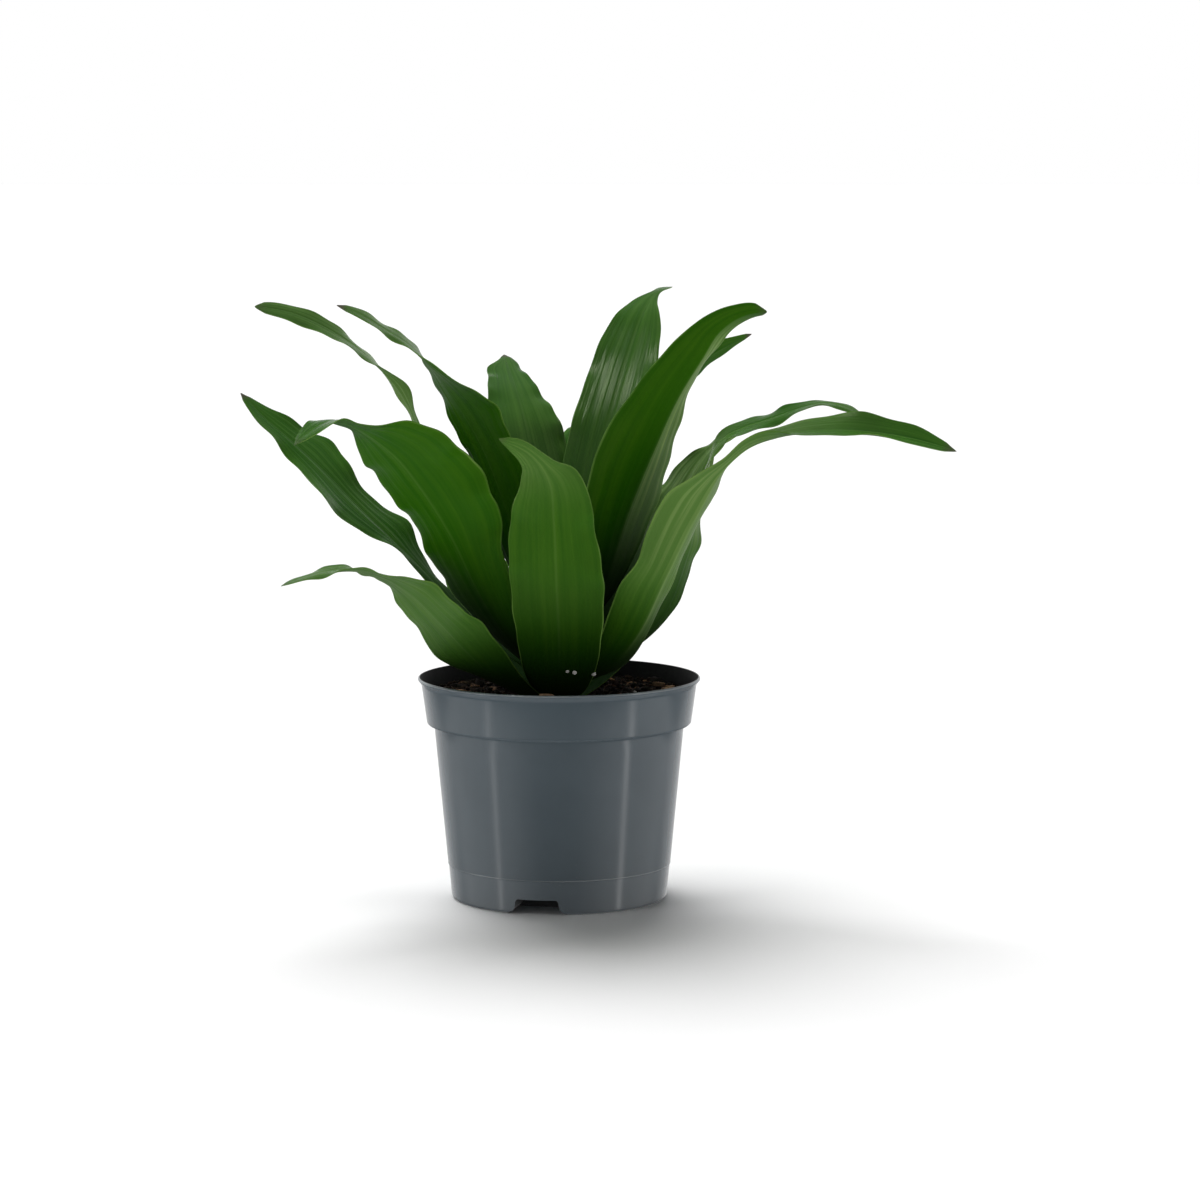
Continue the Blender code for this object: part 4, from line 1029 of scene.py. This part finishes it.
def build_chip(name, size, turn, tilt, curl, material, seed):
    """Bark chip: a rounded block, tapered, slanted and bent along its length, with split, lumpy faces."""
    rings = ball_rings(26, 34)
    boxy = np.sign(rings) * np.abs(rings) ** 0.42
    boxy /= np.abs(boxy).max(axis=(0, 1))
    along = 0.5 * boxy[..., 2] * size[0]
    across = 0.5 * boxy[..., 0] * size[1] * (0.825 - 0.175 * boxy[..., 2])
    high = 0.5 * boxy[..., 1] * size[2] * (0.9 - 0.1 * boxy[..., 0])
    points = np.stack((along, across, high - curl * along**2 / size[0] * 2.0), axis=-1)
    grooves = 0.10 * np.sin(3.3 * across + 0.4 * along + seed) * np.sin(4.1 * high + seed)
    rough = 0.30 * lumps(points, 1.2, seed) + 0.12 * lumps(points, 0.45, seed + 50) + grooves
    points = points * (1.0 + (rough - 0.15) / np.linalg.norm(points, axis=-1))[..., None]
    spin = Matrix.Rotation(math.radians(turn), 3, "Z") @ Matrix.Rotation(math.radians(tilt), 3, "Y")
    low, high = (np.array(corner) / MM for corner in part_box(name))
    points = points @ np.array(spin).T + 0.5 * (low + high)
    uv = np.stack((boxy[..., 2], np.arctan2(boxy[..., 1], boxy[..., 0]) / math.pi), axis=-1)
    keep(skin(name.replace("bark_chip", "bark_bit"), points, [material], uv=uv), "bark", name)


def build_perlite(material):
    """White perlite: a few grains on the soil, and three that cling to the front leaf's foot."""
    random = np.random.default_rng(21)
    x, y = spots_on_soil(random, 9, 30.0, 50.0)
    loose = np.stack((x, y, crumbly_height(x, y) + 0.3), axis=-1)
    at, columns = np.array(((0.175, 0.17, 0.145), (0.22, 0.40, 0.98)))
    clinging = blade_surface(LEAVES["leaf_03"], 3, at, columns, -1)[np.arange(3), np.arange(3)]
    centres = np.concatenate((loose, clinging))
    ball = ball_rings(6, 9)
    knobs = 1.0 + 0.22 * random.uniform(-1.0, 1.0, (len(centres), *ball.shape[:2], 1))
    sizes = random.uniform(0.55, 1.0, (len(centres), 1, 1, 1))
    grains = ball[None] * knobs * sizes + centres[:, None, None, :]
    keep(many("perlite_grains", grains, material, random.uniform(0.5, 1.0, len(centres))), "soil")


# Cane and spear

def build_cane():
    """Cane: a round stem with a low ridge at each leaf scar, rounded off at its top."""
    height = np.linspace(CANE_FOOT, CANE_TOP, 180)
    dome = CANE_TOP - CANE_DOME
    radius = np.interp(
        height, (CANE_FOOT, CANE_FOOT + 6.0, CANE_SHOULDER, dome), (7.4, CANE_RADIUS, CANE_RADIUS, 7.3))
    radius = radius * np.sqrt(np.maximum(1.0 - np.clip((height - dome) / CANE_DOME, 0.0, 1.0) ** 3, 0.003))
    scar = 0.16 * smooth_step(np.mod(height / SCAR_SPACING, 1.0), 0.6, 0.9)
    rings = revolve(list(zip(radius - 0.08 + scar, height)), 72)
    rings[..., :2] *= (1.0 + 0.08 * lumps(rings, 3.0, 9) / CANE_RADIUS)[..., None]
    keep(skin("cane_stem", rings, [cane_material()]), "cane", "cane")


def build_spear(material):
    """Rolled youngest leaf: a spindle whose radius shrinks once round, so that one edge laps the other."""
    share = np.linspace(0.0, 1.0, 90)
    spindle = ((0, 2.6), (0.05, 4.2), (0.2, SPEAR_RADIUS), (0.5, 3.6), (0.8, 1.8), (0.96, 0.55), (1, 0.15))
    radius = station(spindle, share)
    angle = once_round(56)
    share, angle = share[:, None], angle[None, :]
    lap = 1.0 - SPEAR_LAP * (angle / FULL_TURN)
    seam = angle + SPEAR_TWIST * share
    z = np.broadcast_to(share * SPEAR_LENGTH, seam.shape)
    lean = np.array(Matrix.Rotation(math.radians(SPEAR_LEAN), 3, "Y"))
    points = np.stack((radius * lap * np.cos(seam), radius * lap * np.sin(seam), z), axis=-1) @ lean.T
    points[..., 2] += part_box("spear")[0][2] / MM - points[..., 2].min()
    uv = np.stack(np.broadcast_arrays(share, angle / FULL_TURN), axis=-1)
    marks = {"shade": np.full(seam.shape, SPEAR_SHADE), "foot": np.ones(seam.shape)}
    keep(skin("spear_leaf", points, [material], uv=uv, marks=marks), "leaf", "spear")


# Leaf blades

def blade_frame(design, along):
    """Middle of the blade at shares of its length, its directions and its length.

    The directions are those across the blade and out of its upper face. The
    midrib is a smooth curve through the design's points, from the cane's
    side. The direction across starts level, and the roll turns it about the
    midrib.
    """
    heading = math.radians(design.azimuth)
    root = (ROOT_RADIUS * math.cos(heading), ROOT_RADIUS * math.sin(heading), design.root_height)
    knots = np.array((root, *design.midrib), dtype=float)

    def travelled(points):
        return np.concatenate(([0.0], np.cumsum(np.linalg.norm(np.diff(points, axis=0), axis=1))))

    chords = travelled(knots)
    fine = smooth_through(chords, knots, np.linspace(0.0, chords[-1], 400))
    travel = travelled(fine)
    length = travel[-1]

    def midrib(share):
        reach = np.clip(share, 0.0, 1.0) * length
        return np.stack([np.interp(reach, travel, fine[:, axis]) for axis in range(3)], axis=-1)

    forward = midrib(along + 0.01) - midrib(along - 0.01)
    forward /= np.linalg.norm(forward, axis=1)[:, None]
    level = np.array((-math.sin(heading), math.cos(heading), 0.0))
    side = level - (forward @ level)[:, None] * forward
    side /= np.linalg.norm(side, axis=1)[:, None]
    upper = np.cross(forward, side)
    turn = np.radians(station(design.roll, along))
    side, upper = side * np.cos(turn) + upper * np.sin(turn), upper * np.cos(turn) - side * np.sin(turn)
    return midrib(along), forward, side, upper, length


def blade_surface(design, number, along, across, face):
    """Points of a blade's upper (face 1) or lower (face -1) side, as rows along it and columns across it.

    Near the cane the section is an arc round the cane's axis, and further
    out an arc of the design's own curl. The fold lifts both margins, and the
    wave lifts them as a sine along the length, with smaller waves on it. The
    midrib is a shallow groove above and a low keel below, and low ribs run
    the whole length.
    """
    middle, forward, side, upper, length = blade_frame(design, along)
    from_axis = np.maximum(np.hypot(middle[:, 0], middle[:, 1]), CANE_RADIUS)[:, None]
    taper = np.sqrt(np.clip((1.0 - along) / TIP_TAPER, 0.0, 1.0))[:, None]
    sides = np.maximum(station(design.widths, along), LEAST_WIDTH) * taper + TIP_WIDTH
    curls = station(design.curl, along)
    folds = station(design.fold, along)
    along, across = along[:, None], across[None, :]
    travel = along * length
    opened = smooth_step(travel, SHEATH_LENGTH, SHEATH_LENGTH + SHEATH_FADE)
    curl = forward[:, 2:] / from_axis * (1.0 - opened) + curls * opened
    edge = np.abs(across)
    right = np.where(across > 0.0, 1.0, 0.0)
    half_width = sides[:, :1] + (sides[:, -1:] - sides[:, :1]) * right
    nibble = NIBBLE * np.sin(FULL_TURN * (9.0 * along + 0.31 * number) + 2.4 * right)
    spread = half_width * across * (1.0 + nibble * opened * edge**4)
    sideways = np.sin(curl * spread) / curl
    soft_fold = np.sqrt(spread**2 + FOLD_ROUNDING**2) - FOLD_ROUNDING
    rise = (1.0 - np.cos(curl * spread)) / curl + folds * opened * soft_fold

    height, count, start, lead = design.wave
    fade = np.clip((travel - WAVE_START) / WAVE_START, 0.0, 1.0) * np.clip(6.0 * (1.0 - along), 0.0, 1.0)
    rise = rise + height * fade * edge**2 * np.sin(FULL_TURN * count * along + start + lead * right)
    small = np.sin(FULL_TURN * 2.3 * count * along + 1.7 * number + 2.0 * right)
    rise = rise + SMALL_WAVE * fade * edge**3 * small
    (wide, wide_height), (narrow, narrow_height) = RIBS
    ribs = (wide_height * np.cos(FULL_TURN * wide * across + number)
            + narrow_height * np.cos(FULL_TURN * narrow * across))
    rise = rise + ribs * opened * np.minimum(half_width / 12.0, 1.0)

    thickness = MARGIN_THICKNESS + (MIDDLE_THICKNESS - MARGIN_THICKNESS) * (1.0 - edge**2.5)
    thickness = thickness * np.minimum(half_width / 3.0, 1.0)
    groove = GROOVE_DEPTH * np.exp(-((spread / GROOVE_WIDTH) ** 2))
    groove = groove * opened * np.minimum(half_width / 6.0, 1.0)
    rise = rise + 0.5 * face * thickness - groove * (1.0 if face > 0 else 0.8)
    return middle[:, None] + sideways[..., None] * side[:, None] + rise[..., None] * upper[:, None]


def build_leaf(name, design, number, materials):
    """Closed blade: its upper side and its lower side are joined at the margins, the root and the tip."""
    along = 1.0 - (1.0 - np.linspace(0.0, 1.0, BLADE_ROWS)) ** 1.15
    across = np.linspace(-1.0, 1.0, BLADE_COLUMNS + 1)
    across = np.sin(0.5 * math.pi * across) * 0.35 + 0.65 * across
    upper = blade_surface(design, number, along, across, 1)
    lower = blade_surface(design, number, along, across, -1)[:, ::-1]
    rings = np.concatenate((upper, lower), axis=1)
    places = np.concatenate((across, across[::-1]))
    uv = np.stack(np.broadcast_arrays(along[:, None], 0.5 * (places + 1.0)[None, :]), axis=-1)
    underside = np.repeat((0, 1), (BLADE_COLUMNS, BLADE_COLUMNS + 2)).astype(np.int32)
    # How pale each half is: partly its own bloom, partly painted light and painted reflection
    halves = station(design.pale, along)
    pale = np.where(places > 0.0, halves[:, -1:], halves[:, :1])
    # Painted shade on the foot: full near the cane, fading out by the design's foot distance
    travel = along * blade_frame(design, along)[-1]
    foot = 1.0 - PAINTED_FOOT_SHADE * (1.0 - smooth_step(travel, FOOT_FADE, design.foot))
    marks = {
        "shade": np.full(rings.shape[:2], number + 0.98 * design.dry),
        "pale": np.clip(pale, 0.0, 1.0),
        "foot": np.repeat(foot[:, None], rings.shape[1], axis=1)}
    title = name.replace("leaf", "blade")
    keep(skin(title, rings, materials, uv=uv, face_material=underside, marks=marks), "leaf", name)


# Studio

def build_camera():
    data = bpy.data.cameras.new("camera")
    data.sensor_width = SENSOR
    data.lens = SENSOR * FOCAL_PIXELS / PHOTO_PIXELS
    data.clip_end = 100.0
    camera = add_object("camera", data)
    camera.location = (0.0, -CAMERA_DISTANCE * MM, CAMERA_HEIGHT * MM)
    camera.rotation_euler = (math.radians(90.0 - CAMERA_TILT), 0.0, math.radians(-CAMERA_TURN))
    bpy.context.scene.camera = camera


def build_sun():
    """Broad light from above, which makes the shadow on the floor. It isn't mirrored in the plastic."""
    data = bpy.data.lights.new("overhead", "SUN")
    data.energy = SUN_LIGHT
    data.angle = math.radians(SUN_ANGLE)
    lamp = add_object("overhead", data)
    lamp.visible_glossy = False
    lamp.location = (0.0, 0.0, 2.0)
    x, y, z = SUN_DIRECTION
    lamp.rotation_euler = (math.atan2(math.hypot(x, y), -z), 0.0, math.atan2(y, x) - math.pi / 2)


def build_world():
    """Studio round the plant, in bands from the floor up.

    The floor's glow comes first, then a dim gap, then panels round the plant,
    which are dimmest in front and brightest at the sides, and start higher up
    behind than in front, and then the dim sky. Two narrow strips stand in the
    panels, and a soft box hangs at the front left. Azimuth is 0 towards the
    viewer and goes positive to the right. Matt surfaces get MATT_SHARE of
    this light, and the camera sees plain white.
    """
    world = bpy.data.worlds.new("studio")
    bpy.context.scene.world = world
    tree = Shading(world)
    direction = tree.node("TexCoord")["Generated"]
    right, back, up = tree.parts(direction)
    azimuth = tree.calculate("ARCTAN2", right, tree.times(back, -1.0))
    aside = tree.size(azimuth)
    panels = tree.minus(tree.band(aside, *PANEL_GLOW), tree.band(aside, *PANEL_LOSS))
    for middle, strength in STRIPS:
        off = tree.size(tree.minus(azimuth, math.radians(middle)))
        panels = tree.plus(panels, tree.band(off, *STRIP_EDGE, strength, 0.0))
    floor = tree.band(up, *FLOOR_EDGE, FLOOR_GLOW, 0.0)
    gap = tree.times(tree.band(up, *FLOOR_EDGE), tree.band(aside, *GAP_GLOW))
    low = tree.band(aside, *PANEL_FOOT)
    above_gap = tree.band(up, low, tree.plus(low, PANEL_FOOT_HEIGHT))
    above = tree.band(up, *SKY_EDGE)
    level = tree.plus(floor, tree.times(gap, tree.minus(1.0, above_gap)))
    level = tree.plus(level, tree.times(panels, above_gap))
    level = tree.plus(tree.times(level, tree.minus(1.0, above)), tree.times(above, SKY_GLOW))
    turn, tilt = math.radians(SOFT_BOX_AZIMUTH), math.radians(SOFT_BOX_HEIGHT)
    to_box = (math.sin(turn) * math.cos(tilt), -math.cos(turn) * math.cos(tilt), math.sin(tilt))
    facing = tree.node("VectorMath", {0: direction, 1: to_box}, operation="DOT_PRODUCT")["Value"]
    level = tree.plus(level, tree.band(facing, *SOFT_BOX_EDGE, 0.0, SOFT_BOX_LIGHT))

    rays = tree.node("LightPath")
    matt = tree.times(rays["Is Diffuse Ray"], 1.0 - MATT_SHARE)
    level = tree.times(level, tree.minus(1.0, matt))
    background = tree.nodes["Background"].inputs
    tree.feed(background["Strength"], tree.larger(level, rays["Is Camera Ray"]))
    tree.feed(background["Color"], (1.0, 1.0, 1.0, 1.0))


def build_floor():
    tree = new_material("white_floor", Roughness=0.95, Specular_IOR_Level=0.1)
    tree.shader(Base_Color=tree.mix(tree.noise(3.0, 2.0), *FLOOR_TONES))
    half = 40.0
    mesh = bpy.data.meshes.new("floor")
    corners = [(-half, -half, 0.0), (half, -half, 0.0), (half, half, 0.0), (-half, half, 0.0)]
    mesh.from_pydata(corners, [], [(0, 1, 2, 3)])
    floor = add_object("floor", mesh, tree.owner)
    floor.visible_glossy = False


# Making everything

def build_studio():
    build_world()
    build_floor()
    build_sun()
    bpy.context.scene.view_settings.view_transform = "Standard"
    bpy.context.scene.view_settings.look = "None"


def build_soil_and_bits():
    build_soil()
    crumbs = grain_material("peat_crumb", CRUMB_TONES, 0.9, 700.0)
    flakes = grain_material("bark_flake", FLAKE_TONES, 0.8, 500.0)
    scatter_bits("peat_crumbs", "soil", crumbs, 1500, 0.45, 1.25, 0.85, 5)
    scatter_bits("peat_clods", "soil", crumbs, 90, 1.4, 2.8, 0.8, 8)
    scatter_bits("bark_flakes", "bark", flakes, 200, 0.9, 2.4, 0.4, 6)
    scatter_fibres(grain_material("peat_fibre", FIBRE_TONES, 0.7, 500.0), 150, 7)
    build_perlite(grain_material("perlite", PERLITE_TONES, 0.8, 900.0))
    bark = bark_material()
    for seed, (name, (size, turn, tilt, curl)) in enumerate(CHIPS.items(), start=31):
        build_chip(name, size, turn, tilt, curl, bark, seed)


def build_plant():
    """Blades with a glossy upper face and a satin, deeper green underside, on their cane."""
    upper = leaf_material("leaf_upper", UPPER_TONES, UPPER_SHEEN, 0.15, 1.39)
    under = leaf_material("leaf_under", UNDER_TONES, UNDER_SHEEN, 0.30, 1.20)
    for number, (name, design) in enumerate(LEAVES.items(), start=1):
        build_leaf(name, design, number, [upper, under])
    build_cane()
    build_spear(under)


build_camera()
build_studio()
build_pot()
build_soil_and_bits()
build_plant()
